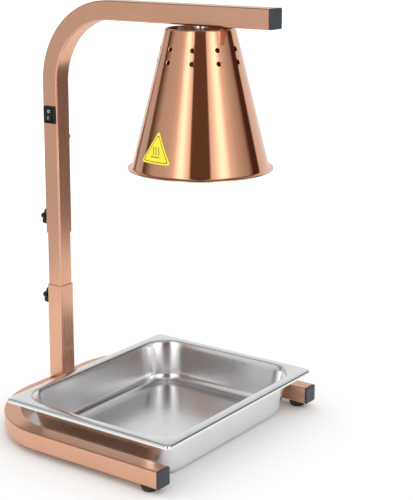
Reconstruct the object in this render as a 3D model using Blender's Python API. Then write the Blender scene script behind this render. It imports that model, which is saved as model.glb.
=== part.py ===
"""Countertop heat lamp warmer, as an assembly of separate pieces.

Metres, +Z up, standing on Z = 0, with the arm and the open side of the base towards +X. The post frame used
below has its origin on the table, on the axis of the post. Seen from the front (from +X) left is -Y.
"""

import math

import bmesh
import bpy
from mathutils import Matrix, Vector

MM = 0.001
GAP = 0.3 * MM                  # between touching pieces
OVERSHOOT = 3.0 * MM            # how far a drill or cutter runs past the piece it cuts

# Square tubes
TUBE = 25.4 * MM                # lower post, upper post and arm
TUBE_WALL = 1.0 * MM
TUBE_CORNER = 2.0 * MM
SLIM_TUBE = 22.8 * MM           # base and telescoping inner tube
SLIM_WALL = 1.2 * MM
SLIM_CORNER = 1.8 * MM

# Base
FOOT_HEIGHT = 8.0 * MM
LEG_SPACING = 334.4 * MM        # between the centre lines of the legs
LEG_REACH = 306.8 * MM          # from the post axis to the end of the leg tube
BASE_BEND = 112.0 * MM          # centre line radius
CAP_THICKNESS = 3.0 * MM
CAP_PLUG = 13.0 * MM
FRONT_FOOT_INSET = 18.5 * MM
REAR_FOOT_Y = 46.0 * MM
FOOT_SCREW_R = 1.9 * MM

# Post
BASE_TOP = FOOT_HEIGHT + SLIM_TUBE
LOWER_TOP = 166.0 * MM
INNER_BOTTOM = 93.0 * MM
INNER_TOP = 313.0 * MM
UPPER_BOTTOM = 239.9 * MM
ARM_TOP = 563.4 * MM
ARM_REACH = 349.7 * MM          # from the post axis to the end of the arm tube
ARM_BEND = 101.0 * MM           # centre line radius
PLUG_HEIGHT = 15.0 * MM
POST_SCREW_Y = 6.2 * MM
POST_SCREW_HEAD = 3.2 * MM
M6_R = 2.9 * MM
M6_HOLE_R = 3.3 * MM

# Clamps
CLAMP_FROM_END = 20.0 * MM      # centre of each clamp from the end of its tube
BOSS_R = 6.0 * MM
BOSS_LENGTH = 3.2 * MM
KNOB_R = 11.0 * MM
KNOB_LOBES = 5
KNOB_BODY = 6.6 * MM
KNOB_NECK = 1.2 * MM
KNOB_NECK_R = 5.6 * MM
KNOB_LOBE_DEPTH = 3.6 * MM
KNOB_POINTS = 25

# Switch, gland and earth stud, in the upper post
SWITCH_Z = 406.0 * MM
BEZEL_X, BEZEL_Z, BEZEL_T = 20.5 * MM, 24.0 * MM, 2.2 * MM
SWITCH_BODY_X, SWITCH_BODY_Z = 18.4 * MM, 21.0 * MM
SWITCH_SLOT_X, SWITCH_SLOT_Z = 12.4 * MM, 18.8 * MM
SWITCH_BACK_Y = 1.3 * MM
ROCKER_X = 11.6 * MM
ROCKER_HALF = 8.4 * MM
ROCKER_TILT = math.radians(9.0)
ROCKER_CREST = 3.0 * MM         # from the pivot to the ridge between the rocker's halves
ROCKER_PIVOT_DEPTH = 2.6 * MM   # behind the bezel's face
ROCKER_PIN_R = 1.2 * MM
BLADE_Z = 5.5 * MM              # each terminal blade from the middle of the switch
BLADE_X, BLADE_T = 4.8 * MM, 0.8 * MM
BLADE_START_Y, BLADE_END_Y = -3.6 * MM, 8.4 * MM
GLAND_Z = 372.0 * MM
GLAND_R, GLAND_BORE_R = 4.0 * MM, 3.1 * MM
GLAND_END_Y = 8.6 * MM          # its inner end, inside the post
EARTH_Z = 432.0 * MM
EARTH_SCREW_R = 1.9 * MM
LEAD_R = 1.1 * MM

# Shade
SHADE_X = 242.0 * MM
SHADE_RIM_Z = 358.6 * MM
SHADE_TOP_Z = 535.2 * MM
SHADE_RIM_R = 92.0 * MM
SHADE_FOOT_R = 86.4 * MM        # the cone at the lip
SHADE_TOP_R = 43.8 * MM
SHADE_WALL = 1.0 * MM
DISC_TOP_Z = 529.0 * MM
VENT_ROWS_Z = (511.6 * MM, 495.7 * MM)
VENT_COLUMNS = 10
VENT_R = 2.9 * MM
VENT_START = math.radians(-101.6)
STRAP_SCREW_X = 32.0 * MM
STRAP_SCREW_R, STRAP_HOLE_R = 1.95 * MM, 2.3 * MM
STRAP_HALF_LENGTH = 38.3 * MM
STRAP_HALF_WIDTH = 8.0 * MM
LABEL_SIDE = 47.5 * MM
LABEL_CORNER = 2.6 * MM
LABEL_THICKNESS = 0.25 * MM
LABEL_Z = 389.0 * MM
LABEL_AZIMUTH = math.radians(-96.5)

# Lampholder stack, downwards from the arm
STEM_R, STEM_BORE_R = 4.9 * MM, 3.4 * MM
STEM_TOP_Z = 546.0 * MM
STEM_HOLE_R = 5.3 * MM
STEM_FOOT = 4.0 * MM            # how far the stem reaches into the lampholder
SPACER_R = 9.0 * MM
NUT_FLAT = 15.0 * MM
NUT_HEIGHT = 4.0 * MM
STRAP_T = 1.5 * MM
HOLDER_TOP_Z = 522.0 * MM
HOLDER_BOTTOM_Z = 480.0 * MM
HOLDER_R = 20.0 * MM
HOLDER_ROOF = 4.4 * MM          # porcelain above the wiring chamber
HOLDER_BORE_R = 14.7 * MM
CHAMBER_R = 13.2 * MM
INSERT_TOP_Z = 512.3 * MM
INSERT_T = 2.8 * MM
RIVET_R = 1.4 * MM
RIVET_OUT = 1.3 * MM            # how far the rivets stand up into the wiring chamber
SHELL_T = 0.6 * MM
SHELL_RIVET_X = 11.0 * MM

# Bulb, measured down from its tip contact
BULB_TIP_Z = 508.0 * MM
BULB_LENGTH = 163.0 * MM
CAP_R = 13.1 * MM
CAP_T = 0.4 * MM
GLASS_T = 1.2 * MM
HEAT_SHIELD_DEPTH = 52.0 * MM
HEAT_SHIELD_R = 15.6 * MM
FILAMENT_DEPTH = 102.0 * MM
FILAMENT_HALF = 9.0 * MM        # half the distance between its two ends
FILAMENT_BOW = 4.2 * MM
WIRE_Y = 6.4 * MM               # each support wire where it passes the heat shield
WIRE_R = 0.55 * MM

# Food pan, half size, standing on the table
PAN_X = 180.6 * MM
PAN_LENGTH_X = 265.0 * MM
PAN_WIDTH_Y = 325.0 * MM
PAN_TOP = 58.5 * MM
PAN_SHEET = 0.8 * MM

# Sides of round pieces
SMALL_SIDES = 8
MEDIUM_SIDES = 16
LARGE_SIDES = 30
GLASS_SIDES = 20
HOLDER_SIDES = 20
CAP_SIDES = 14

# The origin is under the middle of the whole object, so the post stands off it
KNOB_OUT = TUBE / 2 + GAP + BOSS_LENGTH + GAP + KNOB_NECK + KNOB_BODY
ARM_FRONT = ARM_REACH + GAP + CAP_THICKNESS
POST_X = (KNOB_OUT - ARM_FRONT) / 2

LEG_Y = LEG_SPACING / 2
BASE_Z = FOOT_HEIGHT + SLIM_TUBE / 2
ARM_Z = ARM_TOP - TUBE / 2
ARM_UNDERSIDE = ARM_TOP - TUBE
LOWER_CLAMP_Z = LOWER_TOP - CLAMP_FROM_END
UPPER_CLAMP_Z = UPPER_BOTTOM + CLAMP_FROM_END
ROCKER_PIVOT_Y = -TUBE / 2 - GAP - BEZEL_T + ROCKER_PIVOT_DEPTH
RIVET_TOP_Z = INSERT_TOP_Z + RIVET_OUT
SHADE_FOOT_Z = SHADE_RIM_Z + 3.5 * MM
SHADE_SLANT = math.atan2(SHADE_FOOT_R - SHADE_TOP_R, SHADE_TOP_Z - SHADE_FOOT_Z)


# ---------------------------------------------------------------- materials

MATERIALS = {
    "brushed_copper": ((0.60, 0.33, 0.21), 1.0, 0.32),
    "polished_copper": ((0.72, 0.40, 0.25), 1.0, 0.16),
    "black_plastic": ((0.02, 0.02, 0.02), 0.0, 0.45),
    "cap_plastic": ((0.07, 0.08, 0.08), 0.0, 0.5),
    "black_rubber": ((0.02, 0.02, 0.02), 0.0, 0.8),
    "zinc_steel": ((0.70, 0.71, 0.72), 1.0, 0.3),
    "brass": ((0.78, 0.60, 0.28), 1.0, 0.3),
    "porcelain": ((0.90, 0.89, 0.85), 0.0, 0.25),
    "stainless": ((0.78, 0.78, 0.78), 1.0, 0.22),
    "aluminium": ((0.82, 0.82, 0.83), 1.0, 0.3),
    "bulb_glass": ((0.90, 0.92, 0.93), 0.0, 0.05),
    "tungsten": ((0.30, 0.29, 0.28), 1.0, 0.4),
    "heat_label": ((0.95, 0.80, 0.10), 0.0, 0.5),
    "lead_black": ((0.03, 0.03, 0.03), 0.0, 0.6),
    "lead_white": ((0.85, 0.85, 0.82), 0.0, 0.6),
    "lead_green": ((0.10, 0.40, 0.12), 0.0, 0.6),
}


def material(name):
    found = bpy.data.materials.get(name)
    if found:
        return found
    colour, metallic, roughness = MATERIALS[name]
    made = bpy.data.materials.new(name)
    made.use_nodes = True
    shader = made.node_tree.nodes["Principled BSDF"]
    shader.inputs["Base Color"].default_value = (*colour, 1.0)
    shader.inputs["Metallic"].default_value = metallic
    shader.inputs["Roughness"].default_value = roughness
    return made


# ---------------------------------------------------------------- bodies and objects

BODIES = {}


def body(name, parent, origin):
    """An empty on a joint's axis, at `origin` in the post frame."""
    empty = bpy.data.objects.new(name, None)
    empty.empty_display_size = 0.02
    bpy.context.scene.collection.objects.link(empty)
    origin = Vector(origin)
    if parent:
        above, above_origin = BODIES[parent]
        empty.parent = above
        empty.location = origin - above_origin
    else:
        empty.location = origin + Vector((POST_X, 0, 0))
    BODIES[name] = (empty, origin)


def mesh_object(name, mesh_data, on):
    """Link a mesh made in the post frame under the empty of body `on`."""
    empty, origin = BODIES[on]
    bmesh.ops.recalc_face_normals(mesh_data, faces=mesh_data.faces)
    bmesh.ops.translate(mesh_data, verts=mesh_data.verts, vec=-origin)
    mesh = bpy.data.meshes.new(name)
    mesh_data.to_mesh(mesh)
    mesh_data.free()
    obj = bpy.data.objects.new(name, mesh)
    bpy.context.scene.collection.objects.link(obj)
    obj.parent = empty
    return obj


def piece(name, mesh_data, finish, on, sharp=35):
    obj = mesh_object(name, mesh_data, on)
    obj.data.materials.append(material(finish))
    obj.data.shade_smooth()
    obj.data.set_sharp_from_angle(angle=math.radians(sharp))
    return obj


def boolean(obj, mesh_data, on, operation="DIFFERENCE"):
    """Cut `mesh_data` out of obj, or join it on."""
    cutter = mesh_object(f"{obj.name}_{operation.lower()}", mesh_data, on)
    cutter.hide_render = True
    cutter.display_type = "WIRE"
    modifier = obj.modifiers.new(operation.lower(), "BOOLEAN")
    modifier.operation = operation
    modifier.solver = "EXACT"
    modifier.object = cutter


# ---------------------------------------------------------------- shapes

def skin(rings, loop=False):
    """Join rings of points into one closed surface. A ring of one point is a pole.

    Open ends that aren't poles are filled. With `loop`, the last ring joins the first.
    Two poles in a row end one wall and start the next, so nothing joins them.
    """
    shape = bmesh.new()
    made = [[shape.verts.new(point) for point in ring] for ring in rings]
    pairs = list(zip(made, made[1:]))
    if loop:
        pairs.append((made[-1], made[0]))
    for first, second in pairs:
        count = max(len(first), len(second))
        if count == 1:
            continue
        for i in range(count):
            j = (i + 1) % count
            corners = [(first, i), (first, j), (second, j), (second, i)]
            shape.faces.new(list(dict.fromkeys(ring[k % len(ring)] for ring, k in corners)))
    if not loop:
        for ring in (made[0], made[-1]):
            if len(ring) > 2:
                shape.faces.new(ring)
    return shape


def along(axis):
    """A matrix that turns +Z to `axis`."""
    return Vector((0, 0, 1)).rotation_difference(Vector(axis)).to_matrix().to_4x4()


def placed(shape, origin=(0, 0, 0), axis=(0, 0, 1)):
    shape.transform(Matrix.Translation(origin) @ along(axis))
    return shape


def circle(radius, z, count):
    if radius < 1e-7:
        return [(0, 0, z)]
    angles = (2 * math.pi * i / count for i in range(count))
    return [(radius * math.cos(a), radius * math.sin(a), z) for a in angles]


def turned(profile, count=MEDIUM_SIDES, loop=False):
    """Revolve (radius, z) points about Z."""
    return skin([circle(r, z, count) for r, z in profile], loop)


def rounded_rectangle(half_x, half_y, corner, z, steps):
    """Points of a rectangle with `steps` segments to each corner, in the plane at z."""
    points = []
    for quarter, (sx, sy) in enumerate(((1, 1), (-1, 1), (-1, -1), (1, -1))):
        for i in range(steps + 1):
            angle = math.pi / 2 * (quarter + i / steps)
            x = sx * (half_x - corner) + corner * math.cos(angle)
            y = sy * (half_y - corner) + corner * math.sin(angle)
            points.append((x, y, z))
    return points


def stacked(levels, steps=2):
    """Join rounded rectangles, each (half_x, half_y, corner, z)."""
    return skin([rounded_rectangle(*level, steps) for level in levels])


def offset(profile, distance):
    """The (radius, z) polyline moved sideways, to the right of its direction."""
    moved = []
    for i, point in enumerate(profile):
        before = Vector(profile[max(i - 1, 0)])
        after = Vector(profile[min(i + 1, len(profile) - 1)])
        here = Vector(point)
        first = (here - before).normalized() if i > 0 else (after - here).normalized()
        second = (after - here).normalized() if i < len(profile) - 1 else first
        middle = (first + second).normalized()
        side = Vector((middle.y, -middle.x))
        stretch = distance / max(side.dot(Vector((first.y, -first.x))), 0.5)
        moved.append(tuple(here + side * stretch))
    return moved


def arc(centre, radius, start, end, steps):
    """(radius, z) points on an arc, angles in degrees from the outward direction."""
    angles = (math.radians(start + (end - start) * i / steps) for i in range(steps + 1))
    return [(centre[0] + radius * math.cos(a), centre[1] + radius * math.sin(a)) for a in angles]


def smooth(points, steps):
    """A Catmull-Rom curve through the points, ends included."""
    points = [Vector(p) for p in points]
    padded = [points[0] * 2 - points[1], *points, points[-1] * 2 - points[-2]]
    curve = []
    for p0, p1, p2, p3 in zip(padded, padded[1:], padded[2:], padded[3:]):
        for i in range(steps):
            t = i / steps
            curve.append(
                0.5 * (2 * p1 + (p2 - p0) * t + (2 * p0 - 5 * p1 + 4 * p2 - p3) * t**2
                       + (3 * p1 - p0 - 3 * p2 + p3) * t**3)
            )
    curve.append(points[-1])
    return curve


def hexagon_nut(flat, height, bore_r):
    """A chamfered nut about Z, from z = 0 up. Twelve points to a ring keep the bore round."""
    chamfer = 0.09 * flat

    def hexagon(z, inset=0.0):
        points = []
        for i in range(12):
            angle = math.pi / 6 * i
            reach = (flat / 2 - inset) / math.cos(math.pi / 6) if i % 2 == 0 else flat / 2 - inset
            points.append((reach * math.cos(angle), reach * math.sin(angle), z))
        return points

    rings = [
        circle(bore_r, 0, 12),
        hexagon(0, chamfer),
        hexagon(chamfer / 2),
        hexagon(height - chamfer / 2),
        hexagon(height, chamfer),
        circle(bore_r, height, 12),
    ]
    return skin(rings, loop=True)


def merged(shapes):
    """Several separate closed shapes in one bmesh, for a cutter."""
    whole = shapes[0]
    for extra in shapes[1:]:
        mesh = bpy.data.meshes.new("scratch")
        extra.to_mesh(mesh)
        extra.free()
        whole.from_mesh(mesh)
        bpy.data.meshes.remove(mesh)
    return whole


def rod(start, end, radius, count=SMALL_SIDES):
    """A plain round bar, used as a drill. Its flats, not its corners, are at `radius`."""
    start, end = Vector(start), Vector(end)
    length = (end - start).length
    radius /= math.cos(math.pi / count)
    return placed(turned([(radius, 0), (radius, length)], count), start, end - start)


def block(low, high):
    """A box between two corners, used as a cutter."""
    centre = [(a + b) / 2 for a, b in zip(low, high)]
    size = [b - a for a, b in zip(low, high)]
    shape = bmesh.new()
    bmesh.ops.create_cube(shape, size=1.0)
    shape.transform(Matrix.Translation(centre) @ Matrix.Diagonal((*size, 1.0)))
    return shape


def square_tube(path, side, wall, corner):
    """A hollow square tube along a path of (point, section x direction, section y direction)."""

    def ring(place, half, radius):
        point, across, up = place
        flat = rounded_rectangle(half, half, radius, 0, 2)
        return [Vector(point) + Vector(across) * x + Vector(up) * y for x, y, _ in flat]

    outer = [ring(place, side / 2, corner) for place in path]
    inner = [ring(place, side / 2 - wall, corner - wall) for place in path]
    return skin(outer + inner[::-1], loop=True)


# ---------------------------------------------------------------- base

def base_path():
    """The U of the base, from the left leg's end round the crossbar to the right leg's end."""
    up = (0, 0, 1)
    path = [((LEG_REACH, -LEG_Y, BASE_Z), (0, 1, 0), up)]
    steps = 7
    for side in (-1, 1):
        centre = (BASE_BEND, side * (LEG_Y - BASE_BEND))
        for i in range(steps + 1):
            turn = i / steps if side < 0 else 1 - i / steps
            angle = math.pi / 2 * turn
            out_x, out_y = -math.sin(angle), side * math.cos(angle)
            point = (centre[0] + BASE_BEND * out_x, centre[1] + BASE_BEND * out_y, BASE_Z)
            path.append((point, (-out_x, -out_y, 0), up))
    path.append(((LEG_REACH, LEG_Y, BASE_Z), (0, -1, 0), up))
    return path


def foot_places():
    front_x = LEG_REACH - FRONT_FOOT_INSET
    return {
        "front_left": (front_x, -LEG_Y),
        "front_right": (front_x, LEG_Y),
        "rear_left": (0, -REAR_FOOT_Y),
        "rear_right": (0, REAR_FOOT_Y),
    }


def end_cap(side, wall):
    """A plug for the end of a square tube: z = 0 is the tube's end, +Z points out of it."""
    half = side / 2
    plug = half - wall - GAP
    levels = [
        (half - 1.2 * MM, half - 1.2 * MM, 1.0 * MM, CAP_THICKNESS + GAP),
        (half - 0.4 * MM, half - 0.4 * MM, 1.4 * MM, CAP_THICKNESS + GAP - 0.3 * MM),
        (half, half, 1.8 * MM, CAP_THICKNESS + GAP - 0.9 * MM),
        (half, half, 1.8 * MM, GAP),
        (plug, plug, 0.9 * MM, GAP),
        (plug, plug, 0.9 * MM, -CAP_PLUG + 1.5 * MM),
        (plug - 0.6 * MM, plug - 0.6 * MM, 0.7 * MM, -CAP_PLUG),
        (plug - 1.8 * MM, plug - 1.8 * MM, 0.5 * MM, -CAP_PLUG),
        (plug - 1.8 * MM, plug - 1.8 * MM, 0.5 * MM, 0),
    ]
    return stacked(levels)


def make_base():
    tube = square_tube(base_path(), SLIM_TUBE, SLIM_WALL, SLIM_CORNER)
    frame = piece("base_frame", tube, "brushed_copper", "base")
    low = FOOT_HEIGHT - OVERSHOOT
    drills = [
        rod((x, y, low), (x, y, FOOT_HEIGHT + SLIM_WALL + OVERSHOOT), FOOT_SCREW_R + GAP)
        for x, y in foot_places().values()
    ]
    drills += [
        rod((0, y, low), (0, y, BASE_TOP + OVERSHOOT), M6_HOLE_R)
        for y in (-POST_SCREW_Y, POST_SCREW_Y)
    ]
    boolean(frame, merged(drills), "base")

    for name, side in (("left", -1), ("right", 1)):
        cap = placed(end_cap(SLIM_TUBE, SLIM_WALL), (LEG_REACH, side * LEG_Y, BASE_Z), (1, 0, 0))
        piece(f"leg_cap_{name}", cap, "cap_plastic", "base")

    for name, (x, y) in foot_places().items():
        make_foot(name, x, y)


def make_foot(name, x, y):
    """A tapered rubber foot with its screw up in a counterbore."""
    top = FOOT_HEIGHT - GAP
    seat = 3.6 * MM
    hole = FOOT_SCREW_R + GAP
    foot = [
        (8.6 * MM, 0), (9.2 * MM, 0.5 * MM), (11.2 * MM, 5.6 * MM), (11.2 * MM, top),
        (hole, top), (hole, seat), (4.7 * MM, seat), (4.7 * MM, 0),
    ]
    piece(f"foot_{name}", placed(turned(foot, loop=True), (x, y, 0)), "black_rubber", "base")
    head_top = seat - GAP
    head_bottom = head_top - 2.2 * MM
    screw = [
        (0, head_bottom + 1.1 * MM), (1.4 * MM, head_bottom + 1.1 * MM), (1.4 * MM, head_bottom),
        (2.6 * MM, head_bottom), (3.7 * MM, head_bottom + 0.9 * MM), (3.8 * MM, head_top),
        (FOOT_SCREW_R, head_top), (FOOT_SCREW_R, 13.0 * MM), (0.5 * MM, 16.0 * MM), (0, 16.0 * MM),
    ]
    piece(f"foot_screw_{name}", placed(turned(screw, SMALL_SIDES), (x, y, 0)), "zinc_steel", "base")


# ---------------------------------------------------------------- post

def upright_path(low, high):
    return [((0, 0, z), (1, 0, 0), (0, 1, 0)) for z in (low, high)]


def clamp_drill(z):
    """The drill for a clamp screw's hole, through the back wall of a post tube."""
    wall = TUBE / 2
    return rod((-wall - OVERSHOOT, 0, z), (-wall + OVERSHOOT, 0, z), M6_HOLE_R)


def make_lower_post():
    bottom = BASE_TOP + GAP
    tube = square_tube(upright_path(bottom, LOWER_TOP), TUBE, TUBE_WALL, TUBE_CORNER)
    post = piece("lower_post", tube, "brushed_copper", "base")
    boolean(post, clamp_drill(LOWER_CLAMP_Z), "base")

    half = TUBE / 2 - TUBE_WALL - GAP
    plug_low, plug_high = bottom + GAP, bottom + GAP + PLUG_HEIGHT
    plug = piece(
        "post_plug",
        stacked([(half, half, 1.0 * MM, plug_low), (half, half, 1.0 * MM, plug_high)]),
        "zinc_steel", "base",
    )
    holes = [
        rod((0, y, plug_low - OVERSHOOT), (0, y, plug_high + OVERSHOOT), M6_HOLE_R)
        for y in (-POST_SCREW_Y, POST_SCREW_Y)
    ]
    boolean(plug, merged(holes), "base")

    for name, y in (("left", -POST_SCREW_Y), ("right", POST_SCREW_Y)):
        head_top = FOOT_HEIGHT - GAP
        head_low = head_top - POST_SCREW_HEAD
        screw = [
            (0, head_low + 1.8 * MM), (2.3 * MM, head_low + 1.8 * MM), (2.3 * MM, head_low),
            (4.0 * MM, head_low), (5.1 * MM, head_low + 1.2 * MM), (5.1 * MM, head_top),
            (M6_R, head_top), (M6_R, plug_high - 2.5 * MM), (M6_R - 0.8 * MM, plug_high - 1.5 * MM),
            (0, plug_high - 1.5 * MM),
        ]
        piece(f"post_screw_{name}", placed(turned(screw, SMALL_SIDES), (0, y, 0)), "zinc_steel", "base")


def knob_outline(inset, z):
    """The lobed outline of a clamp knob."""
    points = []
    for i in range(KNOB_POINTS):
        angle = 2 * math.pi * i / KNOB_POINTS
        lobe = 0.5 + 0.5 * math.cos(KNOB_LOBES * angle)
        radius = KNOB_R - KNOB_LOBE_DEPTH * (1 - lobe**0.6) - inset
        points.append((radius * math.cos(angle), radius * math.sin(angle), z))
    return points


def make_clamp(level, z, on_tube, on_screw, on_knob):
    """Weld boss, clamp screw and knob on the back (-X) of a post tube."""
    back = (-1, 0, 0)
    wall = TUBE / 2
    boss = [(M6_HOLE_R, 0), (BOSS_R, 0), (BOSS_R, BOSS_LENGTH - 0.6 * MM),
            (BOSS_R - 0.6 * MM, BOSS_LENGTH), (M6_HOLE_R, BOSS_LENGTH)]
    boss_start = (-wall - GAP, 0, z)
    piece(f"{level}_weld_nut", placed(turned(boss, loop=True), boss_start, back), "brushed_copper", on_tube)

    neck_start = wall + GAP + BOSS_LENGTH + GAP
    bore_r = M6_R + GAP
    front = KNOB_NECK + KNOB_BODY
    bore_end = front - 1.6 * MM
    rings = [
        knob_outline(5.0 * MM, front),
        knob_outline(1.0 * MM, front - 0.2 * MM),
        knob_outline(0.25 * MM, front - 0.8 * MM),
        knob_outline(0, front - 1.8 * MM),
        knob_outline(0, KNOB_NECK + 1.2 * MM),
        knob_outline(1.0 * MM, KNOB_NECK),
        circle(KNOB_NECK_R, KNOB_NECK, KNOB_POINTS),
        circle(KNOB_NECK_R, 0, KNOB_POINTS),
        circle(bore_r, 0, KNOB_POINTS),
        circle(bore_r, bore_end, KNOB_POINTS),
    ]
    piece(f"{level}_knob", placed(skin(rings), (-neck_start, 0, z), back), "black_plastic", on_knob)

    tip = SLIM_TUBE / 2 + GAP
    end = neck_start + bore_end - GAP
    chamfer = 0.7 * MM
    screw = [(0, 0), (M6_R - chamfer, 0), (M6_R, chamfer), (M6_R, end - tip), (0, end - tip)]
    piece(f"{level}_clamp_screw", placed(turned(screw), (-tip, 0, z), back), "zinc_steel", on_screw)


def make_inner_post():
    tube = square_tube(upright_path(INNER_BOTTOM, INNER_TOP), SLIM_TUBE, SLIM_WALL, SLIM_CORNER)
    piece("inner_post", tube, "brushed_copper", "inner")


def arm_path():
    """Up the post, round the bend and out along the arm."""
    side = (0, 1, 0)
    path = [((0, 0, UPPER_BOTTOM), (1, 0, 0), side)]
    steps = 9
    for i in range(steps + 1):
        angle = math.pi / 2 * i / steps
        point = (ARM_BEND * (1 - math.cos(angle)), 0, ARM_Z - ARM_BEND * (1 - math.sin(angle)))
        path.append((point, (math.cos(angle), 0, -math.sin(angle)), side))
    path.append(((ARM_REACH, 0, ARM_Z), (0, 0, -1), side))
    return path


def make_upper_post():
    tube = square_tube(arm_path(), TUBE, TUBE_WALL, TUBE_CORNER)
    post = piece("upper_post_arm", tube, "brushed_copper", "upper")
    wall = TUBE / 2
    cut_x, cut_z = SWITCH_BODY_X / 2 + GAP, SWITCH_BODY_Z / 2 + GAP
    cutters = [
        clamp_drill(UPPER_CLAMP_Z),
        block((-cut_x, -wall - OVERSHOOT, SWITCH_Z - cut_z), (cut_x, -wall + OVERSHOOT, SWITCH_Z + cut_z)),
        rod((0, wall - OVERSHOOT, GLAND_Z), (0, wall + OVERSHOOT, GLAND_Z), GLAND_R + GAP),
        rod((0, wall - OVERSHOOT, EARTH_Z), (0, wall + OVERSHOOT, EARTH_Z), EARTH_SCREW_R + GAP, 12),
        rod((SHADE_X, 0, ARM_UNDERSIDE - OVERSHOOT), (SHADE_X, 0, ARM_UNDERSIDE + OVERSHOOT), STEM_HOLE_R),
    ]
    boolean(post, merged(cutters), "upper")
    cap = placed(end_cap(TUBE, TUBE_WALL), (ARM_REACH, 0, ARM_Z), (1, 0, 0))
    piece("arm_end_cap", cap, "cap_plastic", "upper")


# ---------------------------------------------------------------- switch, gland, earth stud

def inwards(z):
    """A matrix that lays a stack on its side, its height towards +Y, at height z on the post."""
    return Matrix.Translation((0, 0, z)) @ Matrix.Rotation(-math.pi / 2, 4, "X")


def make_switch():
    front = -TUBE / 2 - GAP - BEZEL_T
    seat = -TUBE / 2 - GAP
    body_x, body_z = SWITCH_BODY_X / 2, SWITCH_BODY_Z / 2
    slot_x, slot_z = SWITCH_SLOT_X / 2, SWITCH_SLOT_Z / 2
    bezel_x, bezel_z = BEZEL_X / 2, BEZEL_Z / 2
    floor_y = SWITCH_BACK_Y - 2.4 * MM
    # Levels are stacked towards +Y, the inside of the post
    levels = [
        (slot_x, slot_z, 0.5 * MM, floor_y),
        (slot_x, slot_z, 0.5 * MM, front),
        (bezel_x - 0.9 * MM, bezel_z - 0.9 * MM, 1.2 * MM, front),
        (bezel_x, bezel_z, 1.6 * MM, front + 0.8 * MM),
        (bezel_x, bezel_z, 1.6 * MM, seat),
        (body_x, body_z, 0.6 * MM, seat),
        (body_x, body_z, 0.6 * MM, SWITCH_BACK_Y),
    ]
    shape = stacked(levels)
    shape.transform(inwards(SWITCH_Z))
    housing = piece("switch_housing", shape, "black_plastic", "upper")
    end_x = slot_x + 1.8 * MM
    pivot = (ROCKER_PIVOT_Y, SWITCH_Z)
    cutters = [rod((-end_x, *pivot), (end_x, *pivot), ROCKER_PIN_R + 0.4 * MM, 12)]
    hole_x, hole_z = BLADE_X / 2 + 0.5 * MM, BLADE_T / 2 + 0.5 * MM
    for side in (-1, 1):
        z = SWITCH_Z + side * BLADE_Z
        cutters.append(block(
            (-hole_x, floor_y - OVERSHOOT, z - hole_z),
            (hole_x, SWITCH_BACK_Y + OVERSHOOT, z + hole_z),
        ))
    boolean(housing, merged(cutters), "upper")

    for name, side in (("line", -1), ("load", 1)):
        half_x, half_z, corner = BLADE_X / 2, BLADE_T / 2, 0.2 * MM
        blade = stacked([
            (half_x, half_z, corner, BLADE_START_Y),
            (half_x, half_z, corner, BLADE_END_Y - 0.8 * MM),
            (half_x - 0.7 * MM, half_z, corner, BLADE_END_Y),
        ])
        blade.transform(inwards(SWITCH_Z + side * BLADE_Z))
        piece(f"switch_terminal_{name}", blade, "brass", "upper")


def make_rocker():
    """Off at rest: the upper half lies flat in the bezel and the lower half stands out."""
    end = ROCKER_CREST + ROCKER_HALF * math.tan(ROCKER_TILT)
    half = [
        (0, ROCKER_CREST), (ROCKER_HALF - 0.4 * MM, end - 0.2 * MM), (ROCKER_HALF, end - 0.7 * MM),
        (ROCKER_HALF, 0.6 * MM), (5.6 * MM, -2.6 * MM), (2.0 * MM, -3.8 * MM),
    ]
    outline = half + [(-along_z, out) for along_z, out in half[:0:-1]]
    half_x, edge = ROCKER_X / 2, 0.4 * MM
    edge_scale = 1 - edge / ROCKER_HALF
    rings = []
    for x, scale in ((-half_x, edge_scale), (-half_x + edge, 1), (half_x - edge, 1), (half_x, edge_scale)):
        rings.append([(x, -out * scale, z * scale) for z, out in outline])
    shape = skin(rings)
    turn = Matrix.Rotation(-ROCKER_TILT, 4, "X")
    shape.transform(Matrix.Translation((0, ROCKER_PIVOT_Y, SWITCH_Z)) @ turn)
    rocker = piece("switch_rocker", shape, "black_plastic", "rocker", sharp=25)
    pin_x = half_x + 1.2 * MM
    pivot = (ROCKER_PIVOT_Y, SWITCH_Z)
    pin = rod((-pin_x, *pivot), (pin_x, *pivot), ROCKER_PIN_R)
    boolean(rocker, pin, "rocker", "UNION")


def make_gland():
    """Snap-in cord gland on the right side of the post. Its bore stays free for the cord."""
    wall = TUBE / 2
    tail = GLAND_END_Y - wall
    barb_r, barb_y = GLAND_R + 0.7 * MM, -TUBE_WALL - GAP
    profile = [
        (3.6 * MM, tail), (barb_r, barb_y - 0.3 * MM), (barb_r, barb_y), (GLAND_R, barb_y),
        (GLAND_R, GAP), (6.2 * MM, GAP), (6.2 * MM, 2.2 * MM), (5.4 * MM, 2.8 * MM),
        (4.9 * MM, 9.2 * MM), (4.4 * MM, 9.8 * MM), (GLAND_BORE_R, 9.8 * MM), (GLAND_BORE_R, tail),
    ]
    gland = placed(turned(profile, 12, loop=True), (0, wall, GLAND_Z), (0, 1, 0))
    piece("cord_gland", gland, "black_plastic", "upper")


def make_earth_stud():
    wall = TUBE / 2
    stud = [
        (0, 1.3 * MM), (1.3 * MM, 1.3 * MM), (1.3 * MM, 2.3 * MM), (2.6 * MM, 2.3 * MM),
        (3.6 * MM, 1.4 * MM), (3.6 * MM, GAP), (EARTH_SCREW_R, GAP), (EARTH_SCREW_R, -7.5 * MM),
        (EARTH_SCREW_R - 0.5 * MM, -8.0 * MM), (0, -8.0 * MM),
    ]
    shape = placed(turned(stud, SMALL_SIDES), (0, wall, EARTH_Z), (0, 1, 0))
    piece("earth_stud", shape, "zinc_steel", "upper")


# ---------------------------------------------------------------- shade and its fixing

def shade_radius(z):
    """Outer radius of the cone at height z."""
    return SHADE_FOOT_R + (SHADE_TOP_R - SHADE_FOOT_R) * (z - SHADE_FOOT_Z) / (SHADE_TOP_Z - SHADE_FOOT_Z)


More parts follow.
